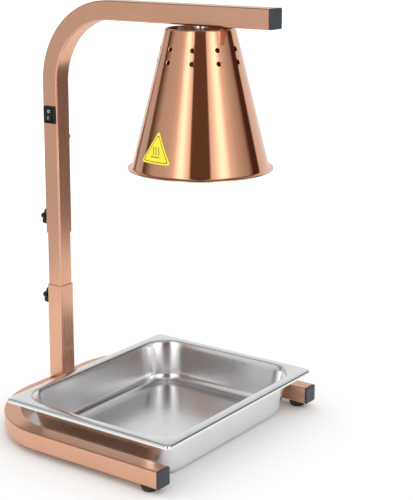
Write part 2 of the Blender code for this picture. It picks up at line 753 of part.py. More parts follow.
def shade_profile():
    """Outer skin, from the hole in the recessed top out over the rim and down to the rolled lip."""
    top_r = SHADE_TOP_R
    recess = top_r - 3.2 * MM
    bead = 0.9 * MM
    lip_z = SHADE_RIM_Z + bead + SHADE_WALL / 2
    return [
        (STEM_HOLE_R, DISC_TOP_Z),
        (recess - 1.6 * MM, DISC_TOP_Z),
        *arc((recess - 1.6 * MM, DISC_TOP_Z + 1.6 * MM), 1.6 * MM, -60, 0, 1),
        *arc((top_r - 1.9 * MM, SHADE_TOP_Z - 1.6 * MM), 1.4 * MM, 170, 10, 2),
        *arc((SHADE_FOOT_R + 2.9 * MM, SHADE_RIM_Z + 4.4 * MM), 3.0 * MM, 194, 262, 2),
        (SHADE_RIM_R - 1.4 * MM, lip_z),
        *arc((SHADE_RIM_R - bead, SHADE_RIM_Z + bead), bead, 75, -60, 2),
    ]


def make_shade():
    outer = shade_profile()
    inner = offset(outer, SHADE_WALL)
    shape = placed(turned(outer + inner[::-1], LARGE_SIDES, loop=True), (SHADE_X, 0, 0))
    shade = piece("shade", shape, "polished_copper", "upper")
    drills = []
    for z in VENT_ROWS_Z:
        radius = shade_radius(z)
        for i in range(VENT_COLUMNS):
            angle = VENT_START + 2 * math.pi * i / VENT_COLUMNS
            out = Vector((math.cos(angle), math.sin(angle), math.tan(SHADE_SLANT))).normalized()
            centre = Vector((SHADE_X + radius * math.cos(angle), radius * math.sin(angle), z))
            drills.append(rod(centre - out * OVERSHOOT, centre + out * OVERSHOOT, VENT_R, 12))
    for x in (SHADE_X - STRAP_SCREW_X, SHADE_X + STRAP_SCREW_X):
        drills.append(rod((x, 0, DISC_TOP_Z - OVERSHOOT), (x, 0, DISC_TOP_Z + OVERSHOOT), STRAP_HOLE_R, 12))
    boolean(shade, merged(drills), "upper")


def sleeve(bore_r, outer_r, low, high):
    """A plain tube about the shade's axis."""
    profile = [(bore_r, low), (outer_r, low), (outer_r, high), (bore_r, high)]
    return placed(turned(profile, loop=True), (SHADE_X, 0, 0))


def make_shade_fixing():
    """Stem, spacer, strap, screws and nuts, down from the arm."""
    centre = (SHADE_X, 0, 0)
    disc_low = DISC_TOP_Z - SHADE_WALL
    strap_top = disc_low - GAP
    strap_low = strap_top - STRAP_T

    levels = [(STRAP_HALF_LENGTH, STRAP_HALF_WIDTH, 4 * MM, z) for z in (strap_low, strap_top)]
    strap = piece("shade_strap", placed(stacked(levels, 3), centre), "zinc_steel", "upper")
    drill_low, drill_top = strap_low - OVERSHOOT, strap_top + OVERSHOOT
    drills = [rod((SHADE_X, 0, drill_low), (SHADE_X, 0, drill_top), STEM_HOLE_R)]
    for side in (-1, 1):
        x = SHADE_X + side * STRAP_SCREW_X
        drills.append(rod((x, 0, drill_low), (x, 0, drill_top), STRAP_HOLE_R, 12))
    boolean(strap, merged(drills), "upper")

    for name, side in (("rear", -1), ("front", 1)):
        x = SHADE_X + side * STRAP_SCREW_X
        head_top = strap_low - GAP
        head_low = head_top - 2.4 * MM
        screw_top = DISC_TOP_Z + 5.8 * MM
        screw = [
            (0, head_low + 1.2 * MM), (1.3 * MM, head_low + 1.2 * MM), (1.3 * MM, head_low),
            (2.8 * MM, head_low), (3.7 * MM, head_low + 1.1 * MM), (3.7 * MM, head_top),
            (STRAP_SCREW_R, head_top), (STRAP_SCREW_R, screw_top - 0.6 * MM),
            (STRAP_SCREW_R - 0.55 * MM, screw_top), (0, screw_top),
        ]
        piece(f"strap_screw_{name}", placed(turned(screw, SMALL_SIDES), (x, 0, 0)), "zinc_steel", "upper")
        nut = placed(hexagon_nut(8.0 * MM, 3.2 * MM, STRAP_HOLE_R), (x, 0, DISC_TOP_Z + GAP))
        piece(f"strap_nut_{name}", nut, "zinc_steel", "upper")

    spacer = sleeve(STEM_HOLE_R, SPACER_R, DISC_TOP_Z + GAP, ARM_UNDERSIDE - GAP)
    piece("stem_spacer", spacer, "zinc_steel", "upper")
    stem = sleeve(STEM_BORE_R, STEM_R, HOLDER_TOP_Z - STEM_FOOT, STEM_TOP_Z)
    piece("threaded_stem", stem, "zinc_steel", "upper")

    upper_nut = hexagon_nut(NUT_FLAT, NUT_HEIGHT, STEM_R + GAP)
    upper_nut = placed(upper_nut, (SHADE_X, 0, ARM_UNDERSIDE + TUBE_WALL + GAP))
    piece("stem_nut_upper", upper_nut, "zinc_steel", "upper")
    lower_nut = hexagon_nut(NUT_FLAT, strap_low - HOLDER_TOP_Z - 2 * GAP, STEM_R + GAP)
    piece("stem_nut_lower", placed(lower_nut, (SHADE_X, 0, HOLDER_TOP_Z + GAP)), "zinc_steel", "upper")


def make_label():
    """Triangular label that follows the cone."""
    height = LABEL_SIDE * math.sqrt(3) / 2
    shape = bmesh.new()
    outline = []
    reach = height * 2 / 3 - 2 * LABEL_CORNER
    for i in range(3):
        middle = math.radians(90 + 120 * i)
        for j in range(-2, 3):
            turn = middle + math.radians(30 * j)
            outline.append(shape.verts.new((
                reach * math.cos(middle) + LABEL_CORNER * math.cos(turn),
                reach * math.sin(middle) + LABEL_CORNER * math.sin(turn), 0,
            )))
    shape.faces.new(outline)
    # Narrow strips, so that the flat triangle bends round the cone
    strip = 3 * MM
    for i in range(-7, 8):
        geometry = shape.verts[:] + shape.edges[:] + shape.faces[:]
        cut = (i * strip, 0, 0)
        bmesh.ops.bisect_plane(shape, geom=geometry, plane_co=cut, plane_no=(1, 0, 0), dist=1e-6)
    bmesh.ops.triangulate(shape, faces=shape.faces)

    def on_cone(flat, lift):
        z = LABEL_Z + flat.y * math.cos(SHADE_SLANT)
        radius = shade_radius(z) + lift
        angle = LABEL_AZIMUTH + flat.x / shade_radius(LABEL_Z)
        return Vector((SHADE_X + radius * math.cos(angle), radius * math.sin(angle), z))

    back = {vert: shape.verts.new(on_cone(vert.co, GAP)) for vert in shape.verts[:]}
    rim = [edge for edge in shape.edges if edge.is_boundary]
    faces = shape.faces[:]
    for face in faces:
        shape.faces.new([back[vert] for vert in reversed(face.verts)])
    for edge in rim:
        first, second = edge.verts
        shape.faces.new([first, second, back[second], back[first]])
    for vert in back:
        vert.co = on_cone(vert.co, GAP + LABEL_THICKNESS)
    piece("heat_label", shape, "heat_label", "upper")


# ---------------------------------------------------------------- lampholder

def make_lampholder():
    centre = (SHADE_X, 0, 0)
    holder = [
        (STEM_HOLE_R, HOLDER_TOP_Z), (12.5 * MM, HOLDER_TOP_Z), (14.5 * MM, HOLDER_TOP_Z - 1.2 * MM),
        (15.5 * MM, HOLDER_TOP_Z - 6 * MM), (HOLDER_R - 1.4 * MM, HOLDER_TOP_Z - 9 * MM),
        (HOLDER_R, HOLDER_TOP_Z - 12 * MM), (HOLDER_R, HOLDER_BOTTOM_Z + 1.5 * MM),
        (HOLDER_R - 1.2 * MM, HOLDER_BOTTOM_Z), (HOLDER_BORE_R + 0.6 * MM, HOLDER_BOTTOM_Z),
        (HOLDER_BORE_R, HOLDER_BOTTOM_Z + 0.8 * MM), (HOLDER_BORE_R, INSERT_TOP_Z + GAP),
        (CHAMBER_R, INSERT_TOP_Z + GAP), (CHAMBER_R, HOLDER_TOP_Z - HOLDER_ROOF),
        (STEM_HOLE_R, HOLDER_TOP_Z - HOLDER_ROOF),
    ]
    holder_body = placed(turned(holder, HOLDER_SIDES, loop=True), centre)
    piece("lampholder_body", holder_body, "porcelain", "upper")

    low = INSERT_TOP_Z - INSERT_T
    fit_r = HOLDER_BORE_R - GAP
    disc = [(0, low), (fit_r, low), (fit_r, INSERT_TOP_Z), (0, INSERT_TOP_Z)]
    insert = piece("lampholder_insert", placed(turned(disc, HOLDER_SIDES), centre), "porcelain", "upper")
    holes = [
        rod((x, 0, low - OVERSHOOT), (x, 0, INSERT_TOP_Z + OVERSHOOT), RIVET_R + GAP)
        for x in (SHADE_X, SHADE_X + SHELL_RIVET_X)
    ]
    boolean(insert, merged(holes), "upper")

    flange_top = low - GAP
    flange_low = flange_top - SHELL_T
    flange_r, shell_low = 8.4 * MM, HOLDER_BOTTOM_Z + 2.5 * MM
    shell = [
        (flange_r, flange_top), (fit_r, flange_top), (fit_r, shell_low),
        (fit_r - SHELL_T, shell_low), (fit_r - SHELL_T, flange_low), (flange_r, flange_low),
    ]
    shell_shape = placed(turned(shell, HOLDER_SIDES, loop=True), centre)
    screw_shell = piece("lampholder_shell", shell_shape, "brass", "upper")
    rivet_x = SHADE_X + SHELL_RIVET_X
    drill = rod((rivet_x, 0, flange_low - SHELL_T), (rivet_x, 0, flange_top + SHELL_T), RIVET_R + GAP)
    boolean(screw_shell, drill, "upper")
    rivet = rivet_profile(flange_low - GAP, 0.4 * MM)
    piece("shell_rivet", placed(turned(rivet, SMALL_SIDES), (rivet_x, 0, 0)), "brass", "upper")
    contact_low = BULB_TIP_Z + GAP
    contact = rivet_profile(flange_top, flange_top - contact_low, 4.5 * MM)
    piece("lampholder_contact", placed(turned(contact, SMALL_SIDES), centre), "brass", "upper")


def rivet_profile(head_top, head_t, head_r=2.4 * MM):
    """A rivet up through the lampholder's insert, its head below."""
    chamfer = 0.3 * MM
    head_low = head_top - head_t
    return [
        (0, head_low), (head_r * 0.7, head_low), (head_r, head_low + head_t / 2), (head_r, head_top),
        (RIVET_R, head_top), (RIVET_R, RIVET_TOP_Z - chamfer), (RIVET_R - chamfer, RIVET_TOP_Z),
        (0, RIVET_TOP_Z),
    ]


# ---------------------------------------------------------------- bulb

def bulb_outline():
    """(radius, depth) of the glass, from its open neck inside the cap to the middle of its front."""
    neck_r = CAP_R - 0.9 * MM
    neck = [(neck_r, 17 * MM), (neck_r, 27.5 * MM)]
    rise = smooth([
        (14.8 * MM, 30.6 * MM), (17.8 * MM, 35.5 * MM), (18.8 * MM, 41.5 * MM), (18.9 * MM, 57 * MM),
        (20.6 * MM, 61.5 * MM), (24.6 * MM, 66.5 * MM), (26.0 * MM, 71 * MM),
    ], 1)
    body_curve = smooth([
        (29.0 * MM, 74.6 * MM), (40.5 * MM, 87 * MM), (51.5 * MM, 103 * MM), (59.8 * MM, 118.5 * MM),
        (62.6 * MM, 129 * MM), (60.4 * MM, 137 * MM), (53.5 * MM, 143.6 * MM), (37.0 * MM, 154.2 * MM),
        (18.0 * MM, 161.2 * MM), (0, BULB_LENGTH),
    ], 1)
    return neck + [tuple(p) for p in rise + body_curve]


def downwards(profile):
    """(radius, depth) turned into (radius, z)."""
    return [(r, BULB_TIP_Z - depth) for r, depth in profile]


def make_bulb():
    centre = (SHADE_X, 0, 0)
    outline = bulb_outline()
    inner = [(max(r, 0), depth) for r, depth in offset(outline, -GLASS_T)]
    inner[-1] = (0, BULB_LENGTH - GLASS_T)
    glass = turned(downwards(outline + inner[::-1]), GLASS_SIDES, loop=True)
    piece("bulb_glass", placed(glass, centre), "bulb_glass", "bulb", sharp=40)

    cap_end, shoulder_r = 27.2 * MM, 8.8 * MM
    cap = [
        (CAP_R, cap_end), (CAP_R, 8.6 * MM), (shoulder_r, 3.6 * MM), (shoulder_r - CAP_T, 3.9 * MM),
        (CAP_R - CAP_T, 8.8 * MM), (CAP_R - CAP_T, cap_end),
    ]
    piece("bulb_cap", placed(turned(downwards(cap), loop=True), centre), "aluminium", "bulb")
    insulator = [(4.6 * MM, 1.3 * MM), (8.1 * MM, 3.7 * MM), (8.1 * MM, 6.2 * MM), (1.5 * MM, 6.2 * MM),
                 (1.5 * MM, 2.2 * MM), (4.6 * MM, 2.2 * MM)]
    ring = placed(turned(downwards(insulator), CAP_SIDES, loop=True), centre)
    piece("bulb_insulator", ring, "black_plastic", "bulb")
    tip = [(0, 0), (2.6 * MM, 0.3 * MM), (4.2 * MM, 1.0 * MM), (4.2 * MM, 1.9 * MM), (1.2 * MM, 1.9 * MM),
           (1.2 * MM, 7.0 * MM), (0, 7.0 * MM)]
    piece("bulb_tip_contact", placed(turned(downwards(tip), CAP_SIDES), centre), "zinc_steel", "bulb")

    stem = [(0, 16 * MM), (9.6 * MM, 16 * MM), (9.6 * MM, 19 * MM), *smooth([
        (7.6 * MM, 23 * MM), (4.6 * MM, 28 * MM), (3.6 * MM, 36 * MM), (3.4 * MM, 46 * MM),
    ], 2), (3.0 * MM, 48.4 * MM), (0, 48.4 * MM)]
    piece("bulb_stem", placed(turned(downwards(stem), CAP_SIDES), centre), "bulb_glass", "bulb")

    depth, rim = HEAT_SHIELD_DEPTH, HEAT_SHIELD_R
    dish = [
        (0, depth), (rim - 2 * MM, depth), (rim, depth - 2.4 * MM), (rim + 0.4 * MM, depth - 2.2 * MM),
        (rim - 1.6 * MM, depth + 0.5 * MM), (0, depth + 0.5 * MM),
    ]
    shield = piece("bulb_heat_shield", placed(turned(downwards(dish)), centre), "aluminium", "bulb")
    z = BULB_TIP_Z - depth
    boolean(shield, merged([
        rod((SHADE_X, y, z - OVERSHOOT), (SHADE_X, y, z + OVERSHOOT), WIRE_R + GAP)
        for y in (-WIRE_Y, WIRE_Y)
    ]), "bulb")

    # (distance from the bulb's axis, depth) along a support wire, from the stem's foot to the filament
    support = [(10.3 * MM, 21 * MM), (9 * MM, 27 * MM), (WIRE_Y, 34 * MM), (WIRE_Y, 60 * MM),
               (WIRE_Y, 84 * MM), (FILAMENT_HALF, FILAMENT_DEPTH - 1.3 * MM)]
    for name, side in (("left", -1), ("right", 1)):
        wire = [(SHADE_X, side * y, BULB_TIP_Z - depth) for y, depth in support]
        strand(f"bulb_support_{name}", wire, WIRE_R, "zinc_steel", "bulb", 2)
    steps = 6
    sweep = []
    for i in range(steps + 1):
        turn = math.pi * i / steps
        x, y = FILAMENT_BOW * math.sin(turn), FILAMENT_HALF * math.cos(turn)
        sweep.append((SHADE_X + x, y, BULB_TIP_Z - FILAMENT_DEPTH))
    strand("filament", sweep, 0.9 * MM, "tungsten", "bulb", 1)


# ---------------------------------------------------------------- leads

def strand(name, route, radius, finish, on, steps):
    """A wire as a bevelled curve along a smooth line through the route's points."""
    _, origin = BODIES[on]
    points = smooth(route, steps)
    curve = bpy.data.curves.new(name, "CURVE")
    curve.dimensions = "3D"
    curve.bevel_depth = radius
    curve.bevel_resolution = 1
    curve.use_fill_caps = True
    spline = curve.splines.new("POLY")
    spline.points.add(len(points) - 1)
    for target, point in zip(spline.points, points):
        target.co = (*(point - origin), 1.0)
    curve.materials.append(material(finish))
    obj = bpy.data.objects.new(name, curve)
    bpy.context.scene.collection.objects.link(obj)
    obj.parent = BODIES[on][0]


def bend_route(x, y, inward):
    """Points from above the switch, round the arm's bend, to near the lampholder's stem."""
    radius = ARM_BEND - inward
    centre_z = ARM_Z - ARM_BEND
    route = [(x, y, SWITCH_Z + 38 * MM)]
    for i in range(5):
        angle = math.pi / 2 * i / 4
        route.append((ARM_BEND - radius * math.cos(angle), y, centre_z + radius * math.sin(angle)))
    route.append((SHADE_X - 60 * MM, y, centre_z + radius))
    return route


def into_stem(y):
    """Points from the arm down through the hollow stem."""
    return [
        (SHADE_X - 14 * MM, y, STEM_TOP_Z + 5.0 * MM),
        (SHADE_X - 3.0 * MM, y, STEM_TOP_Z + 3.6 * MM),
        (SHADE_X, y, STEM_TOP_Z - 3.0 * MM),
        (SHADE_X, y, STEM_TOP_Z - 14.0 * MM),
        (SHADE_X, y, HOLDER_TOP_Z - 1.0 * MM),
    ]


def make_leads():
    rivet_end = RIVET_TOP_Z + GAP
    gland_end = GLAND_END_Y - 0.7 * MM
    blade_end = BLADE_Z + BLADE_T / 2 + GAP     # a lead's end above or below the middle of the switch
    neutral = [(1.2 * MM, gland_end, GLAND_Z + 1.3 * MM), (3.4 * MM, 4.6 * MM, GLAND_Z + 3.5 * MM),
               (7.4 * MM, 5.4 * MM, GLAND_Z + 12 * MM), (8.0 * MM, 6.4 * MM, SWITCH_Z - 8 * MM),
               (8.0 * MM, 6.4 * MM, SWITCH_Z + 14 * MM)]
    neutral += bend_route(6.5 * MM, 3.4 * MM, 4.0 * MM) + into_stem(1.7 * MM)
    neutral += [(SHADE_X + 2.4 * MM, 1.5 * MM, HOLDER_TOP_Z - 5.8 * MM),
                (SHADE_X + 7.0 * MM, 0.8 * MM, HOLDER_TOP_Z - 5.9 * MM),
                (SHADE_X + SHELL_RIVET_X - 0.4 * MM, 0.1 * MM, RIVET_TOP_Z + 2.2 * MM),
                (SHADE_X + SHELL_RIVET_X, 0, rivet_end)]
    strand("lead_neutral", neutral, LEAD_R, "lead_white", "upper", 2)

    switched = [(0, 6.0 * MM, SWITCH_Z + blade_end), (0, 5.6 * MM, SWITCH_Z + BLADE_Z + 8 * MM)]
    switched += bend_route(-3.0 * MM, -3.4 * MM, -3.0 * MM) + into_stem(-1.7 * MM)
    switched += [(SHADE_X, -1.0 * MM, HOLDER_TOP_Z - 4.2 * MM), (SHADE_X, -0.1 * MM, RIVET_TOP_Z + 2.4 * MM),
                 (SHADE_X, 0, rivet_end)]
    strand("lead_switched", switched, LEAD_R, "lead_black", "upper", 2)

    line = [(0, gland_end, GLAND_Z - 1.3 * MM), (-0.4 * MM, 3.2 * MM, GLAND_Z - 0.4 * MM),
            (-0.6 * MM, 1.0 * MM, GLAND_Z + 7 * MM), (-0.4 * MM, 4.0 * MM, SWITCH_Z - 18 * MM),
            (0, 6.0 * MM, SWITCH_Z - 11 * MM), (0, 6.0 * MM, SWITCH_Z - blade_end)]
    strand("lead_line", line, LEAD_R, "lead_black", "upper", 2)

    stud_side = -EARTH_SCREW_R - GAP - LEAD_R
    earth = [(-1.4 * MM, gland_end, GLAND_Z + 1.2 * MM), (-4.2 * MM, 5.0 * MM, GLAND_Z + 3.6 * MM),
             (-7.4 * MM, 5.6 * MM, GLAND_Z + 12 * MM), (-8.0 * MM, 6.8 * MM, SWITCH_Z - 8 * MM),
             (-8.0 * MM, 6.8 * MM, SWITCH_Z + 12 * MM), (-7.6 * MM, 6.6 * MM, EARTH_Z - 6.0 * MM),
             (-6.6 * MM, 6.4 * MM, EARTH_Z - 1.5 * MM), (stud_side, 6.2 * MM, EARTH_Z)]
    strand("lead_earth", earth, LEAD_R, "lead_green", "upper", 2)


# ---------------------------------------------------------------- food pan

def make_pan():
    """Half-size pan with a turned-down flange, wide corner radii inside and a tapered wall."""
    half_x, half_y = PAN_LENGTH_X / 2, PAN_WIDTH_Y / 2
    # (inset from the rim, height, corner radius), from the flange's edge in to the floor
    upper = [
        (0, PAN_TOP - 5.0 * MM, 6 * MM), (0, PAN_TOP - 1.4 * MM, 6 * MM),
        (0.5 * MM, PAN_TOP - 0.4 * MM, 6 * MM), (1.6 * MM, PAN_TOP, 6 * MM),
        (11.0 * MM, PAN_TOP, 34 * MM), (13.0 * MM, PAN_TOP - 0.7 * MM, 38 * MM),
        (14.0 * MM, PAN_TOP - 3.0 * MM, 40 * MM), (21.0 * MM, 17 * MM, 36 * MM),
        (22.6 * MM, 9.5 * MM, 34 * MM), (26.2 * MM, 4.0 * MM, 31 * MM),
        (31.5 * MM, 1.4 * MM, 26 * MM), (37.0 * MM, PAN_SHEET, 22 * MM),
    ]
    lower = offset([(-inset, z) for inset, z, _ in upper], -PAN_SHEET)
    lower[0] = (-PAN_SHEET, upper[0][1])
    lower[-1] = (lower[-1][0], 0)
    levels = [(half_x - d, half_y - d, corner, z) for d, z, corner in upper[::-1]]
    for (negative_inset, z), (_, _, corner) in zip(lower, upper):
        inset = -negative_inset
        levels.append((half_x - inset, half_y - inset, max(corner - PAN_SHEET / 2, 1 * MM), max(z, 0)))
    piece("food_pan", placed(stacked(levels, 4), (PAN_X, 0, 0)), "stainless", "pan")


# ---------------------------------------------------------------- assembly

def main():
    for obj in list(bpy.data.objects):
        bpy.data.objects.remove(obj, do_unlink=True)
    body("base", None, (0, 0, 0))
    body("pan", "base", (PAN_X, 0, 0))
    body("inner", "base", (0, 0, INNER_BOTTOM))
    body("upper", "inner", (0, 0, UPPER_BOTTOM))
    body("lower_screw", "base", (-TUBE / 2, 0, LOWER_CLAMP_Z))
    body("lower_knob_turn", "lower_screw", (-TUBE / 2, 0, LOWER_CLAMP_Z))
    body("upper_screw", "upper", (-TUBE / 2, 0, UPPER_CLAMP_Z))
    body("upper_knob_turn", "upper_screw", (-TUBE / 2, 0, UPPER_CLAMP_Z))
    body("rocker", "upper", (0, ROCKER_PIVOT_Y, SWITCH_Z))
    body("bulb", "upper", (SHADE_X, 0, BULB_TIP_Z))

    make_base()
    make_lower_post()
    make_inner_post()
    make_upper_post()
    make_clamp("lower", LOWER_CLAMP_Z, "base", "lower_screw", "lower_knob_turn")
    make_clamp("upper", UPPER_CLAMP_Z, "upper", "upper_screw", "upper_knob_turn")
    make_switch()
    make_rocker()
    make_gland()
    make_earth_stud()
    make_shade()
    make_shade_fixing()
    make_label()
    make_lampholder()
    make_bulb()
    make_leads()
    make_pan()


main()
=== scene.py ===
"""Looks of a countertop heat lamp warmer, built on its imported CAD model.

Shapes are made in the post frame: the origin is on the table under the post, +X points along the arm and
+Z up. `built` moves them to the model's frame. Lengths are in metres, but `mm` takes millimetres.
"""

import math

import bmesh
import bpy
from mathutils import Matrix, Vector


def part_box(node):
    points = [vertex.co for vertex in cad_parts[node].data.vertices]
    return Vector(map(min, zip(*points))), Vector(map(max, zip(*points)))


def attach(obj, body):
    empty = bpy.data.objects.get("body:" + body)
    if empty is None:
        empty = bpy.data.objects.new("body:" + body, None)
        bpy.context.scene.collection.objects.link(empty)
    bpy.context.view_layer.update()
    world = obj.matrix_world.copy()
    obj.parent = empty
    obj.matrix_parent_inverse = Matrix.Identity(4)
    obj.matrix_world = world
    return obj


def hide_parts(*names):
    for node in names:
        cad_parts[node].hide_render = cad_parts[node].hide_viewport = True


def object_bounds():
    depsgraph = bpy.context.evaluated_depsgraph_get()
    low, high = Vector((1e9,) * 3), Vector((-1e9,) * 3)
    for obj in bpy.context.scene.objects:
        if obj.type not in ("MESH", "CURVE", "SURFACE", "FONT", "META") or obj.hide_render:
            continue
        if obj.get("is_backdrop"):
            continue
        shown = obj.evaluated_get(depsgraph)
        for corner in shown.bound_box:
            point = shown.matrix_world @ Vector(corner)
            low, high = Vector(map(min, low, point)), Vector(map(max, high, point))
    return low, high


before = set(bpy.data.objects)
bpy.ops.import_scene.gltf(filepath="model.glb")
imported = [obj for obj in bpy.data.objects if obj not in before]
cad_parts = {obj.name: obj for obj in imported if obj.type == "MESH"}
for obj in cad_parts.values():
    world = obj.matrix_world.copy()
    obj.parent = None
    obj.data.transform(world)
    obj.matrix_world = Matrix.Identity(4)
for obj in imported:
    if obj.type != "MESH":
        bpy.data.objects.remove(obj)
cad_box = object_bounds()

MM = 0.001
GAP = 0.3 * MM                  # between touching pieces
TAU = 2 * math.pi


def middle(node):
    low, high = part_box(node)
    return (low + high) / 2


def lowest(node):
    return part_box(node)[0].z


def highest(node):
    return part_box(node)[1].z


# ---- dimensions

# Square tubes
TUBE, TUBE_WALL, TUBE_CORNER = 25.4 * MM, 1.0 * MM, 2.0 * MM
SLIM_TUBE, SLIM_WALL, SLIM_CORNER = 22.8 * MM, 1.2 * MM, 1.8 * MM
WALL_Y = TUBE / 2               # the post's outer face
BASE_BEND, ARM_BEND = 112.0 * MM, 101.0 * MM    # centre line radii
STRAIGHT = 12.0 * MM            # from the last point of a straight tube to its bend
CAP_THICKNESS, CAP_PLUG = 3.0 * MM, 13.0 * MM
TUBE_EDGE = 0.25 * MM           # broken edge at a tube's cut end
RIPPLE_DEPTH, RIPPLE_PITCH = 0.10 * MM, 6.2 * MM    # bending marks inside the arm's bend
DRILL = 3.0 * MM                # how far a drill runs past the wall that it pierces

# Places, from the CAD model
POST_X = middle("inner_post").x
SHADE_X = middle("shade").x - POST_X
SHADE_FOOT = (SHADE_X, 0, 0)
PAN_X = middle("food_pan").x - POST_X
LEG_Y = middle("leg_cap_right").y
LEG_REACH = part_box("base_frame")[1].x - POST_X
ARM_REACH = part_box("upper_post_arm")[1].x - POST_X
BASE_Z = middle("leg_cap_left").z
BASE_LOW, BASE_HIGH = BASE_Z - SLIM_TUBE / 2, BASE_Z + SLIM_TUBE / 2
ARM_Z = middle("arm_end_cap").z
SWITCH_Z = middle("switch_housing").z
GLAND_Z = middle("cord_gland").z
EARTH_Z = middle("earth_stud").z
SHADE_RIM_Z, SHADE_TOP_Z = lowest("shade"), highest("shade")
BULB_TIP_Z = highest("bulb_tip_contact")
PAN_TOP = highest("food_pan")

# Feet and clamps
FOOT_SEAT, FOOT_HOLE_R = 3.6 * MM, 2.2 * MM
M6_R, M6_HOLE_R = 2.9 * MM, 3.3 * MM
BOSS_R, BOSS_LENGTH = 6.0 * MM, 3.2 * MM
KNOB_R, KNOB_LOBES, KNOB_LOBE_DEPTH = 11.0 * MM, 5, 3.6 * MM
KNOB_BODY, KNOB_NECK, KNOB_NECK_R = 6.6 * MM, 1.2 * MM, 5.6 * MM

# Switch, gland and earth screw
BEZEL_X, BEZEL_Z, BEZEL_T = 20.5 * MM, 24.0 * MM, 2.2 * MM
SWITCH_BODY_X, SWITCH_BODY_Z = 18.4 * MM, 21.0 * MM
SWITCH_SLOT_X, SWITCH_SLOT_Z = 12.4 * MM, 18.8 * MM
SWITCH_BACK_Y = 1.3 * MM
ROCKER_X, ROCKER_HALF, ROCKER_CREST = 11.6 * MM, 8.4 * MM, 3.0 * MM
ROCKER_TILT = math.radians(9.0)
ROCKER_PIVOT_Y = -WALL_Y - GAP - BEZEL_T + 2.6 * MM
ROCKER_PIN_R, MARK_Z = 1.2 * MM, 4.5 * MM
BLADE_X, BLADE_T, BLADE_Z = 4.8 * MM, 0.8 * MM, 5.5 * MM
GLAND_R, GLAND_BORE_R = 4.0 * MM, 3.1 * MM
EARTH_SCREW_R = 1.9 * MM
CROSS_HALF = 0.35 * MM          # half the width of a cross recess's slots

# Shade, its fixing and its label
SHADE_RIM_R, SHADE_FOOT_R, SHADE_TOP_R = 92.0 * MM, 86.4 * MM, 43.8 * MM
SHADE_WALL = 1.0 * MM
SHADE_FOOT_Z = SHADE_RIM_Z + 3.5 * MM
SHADE_SLANT = math.atan2(SHADE_FOOT_R - SHADE_TOP_R, SHADE_TOP_Z - SHADE_FOOT_Z)
DISC_TOP_Z = SHADE_TOP_Z - 6.2 * MM
VENT_ROWS_Z = (SHADE_TOP_Z - 23.6 * MM, SHADE_TOP_Z - 39.5 * MM)
VENT_COLUMNS, VENT_R, VENT_BEVEL = 10, 2.9 * MM, 0.5 * MM
VENT_START = math.radians(-101.6)
SPIN_R = 60.0 * MM              # the radius at which the turning lines' map is true to length
STEM_R, STEM_BORE_R, STEM_HOLE_R = 4.9 * MM, 3.4 * MM, 5.3 * MM
STRAP_SCREW_X, STRAP_SCREW_R, STRAP_HOLE_R = 32.0 * MM, 1.95 * MM, 2.3 * MM
STRAP_T, STRAP_HALF_LENGTH, STRAP_HALF_WIDTH = 1.5 * MM, 38.3 * MM, 8.0 * MM
LABEL_SIDE, LABEL_CORNER, LABEL_THICKNESS = 47.5 * MM, 2.6 * MM, 0.25 * MM
LABEL_Z, LABEL_AZIMUTH = 389.0 * MM, math.radians(-96.5)

# Lampholder and bulb
HOLDER_TOP_Z, HOLDER_BOTTOM_Z = highest("lampholder_body"), lowest("lampholder_body")
HOLDER_R, HOLDER_BORE_R, CHAMBER_R, HOLDER_ROOF = 20.0 * MM, 14.7 * MM, 13.2 * MM, 4.4 * MM
INSERT_TOP_Z, INSERT_T = highest("lampholder_insert"), 2.8 * MM
SHELL_T = 0.6 * MM
CAP_R, CAP_T, GLASS_T = 13.1 * MM, 0.4 * MM, 1.2 * MM
BULB_LENGTH, BULB_SIDES = 163.0 * MM, 240
DIMPLE_START, DIMPLE_PITCH, DIMPLE_DEPTH, DIMPLE_SIDES = 135.5 * MM, 3.0 * MM, 0.28 * MM, 4
MIRROR_START, MIRROR_END = 60 * MM, 134 * MM
HEAT_SHIELD_DEPTH, HEAT_SHIELD_R = 52.0 * MM, 15.6 * MM
FILAMENT_DEPTH, FILAMENT_HALF, FILAMENT_BOW = 102.0 * MM, 9.0 * MM, 4.2 * MM
WIRE_Y, WIRE_R = 6.4 * MM, 0.55 * MM

# Pan
PAN_HALF_X, PAN_HALF_Y, PAN_SHEET = 132.5 * MM, 162.5 * MM, 0.8 * MM

# Fineness of the turned shapes, in sides
FINE, FINEST = 48, 120

# Stage, light and camera. The studio's brightness goes by the direction it is seen in, degrees from +X.
FLOOR_R = 0.8
STUDIO = (
    (-180, 0.26), (-169, 0.26), (-167, 0.06), (-160, 0.07), (-141, 0.26), (-114, 0.30), (-102, 0.40),
    (-91, 1.0), (-86, 1.0), (-80, 0.66), (-73, 0.40), (-71.6, 0.06), (-37.4, 0.06), (-36, 0.42),
    (-29, 0.52), (-18, 1.0), (-11, 1.0), (-1, 0.45), (15, 0.29), (36, 0.19), (45, 0.03), (60, 0.03),
    (64, 0.37), (95, 0.37), (126, 0.34), (150, 0.36), (162, 0.37), (164, 0.09), (167, 0.09), (170, 0.26),
)
STUDIO_STRENGTH = 2.45
CEILING_DIMMING = 0.40          # brightness overhead, as a share of that at eye level
ROOM_STRENGTH = 1.2
CAMERA_PLACE, CAMERA_HEADING, CAMERA_DIP = (1.0073, -1.2851, 0.6726), 2.19667, 0.20872
CAMERA_LENS, CAMERA_SHIFT = 92.34, (0.0111, -0.13)


# ---- materials

MATERIALS = {}
GRAIN = "grain"                 # the map of each brushed surface, in metres across and along the brushing


def add_node(tree, kind, sockets=None, **settings):
    """A shader node. Each of its `sockets` is given a value or the output that feeds it."""
    made = tree.nodes.new(kind)
    for key, value in settings.items():
        setattr(made, key, value)
    for key, value in (sockets or {}).items():
        if isinstance(value, bpy.types.NodeSocket):
            tree.links.new(value, made.inputs[key])
        else:
            made.inputs[key].default_value = value
    return made


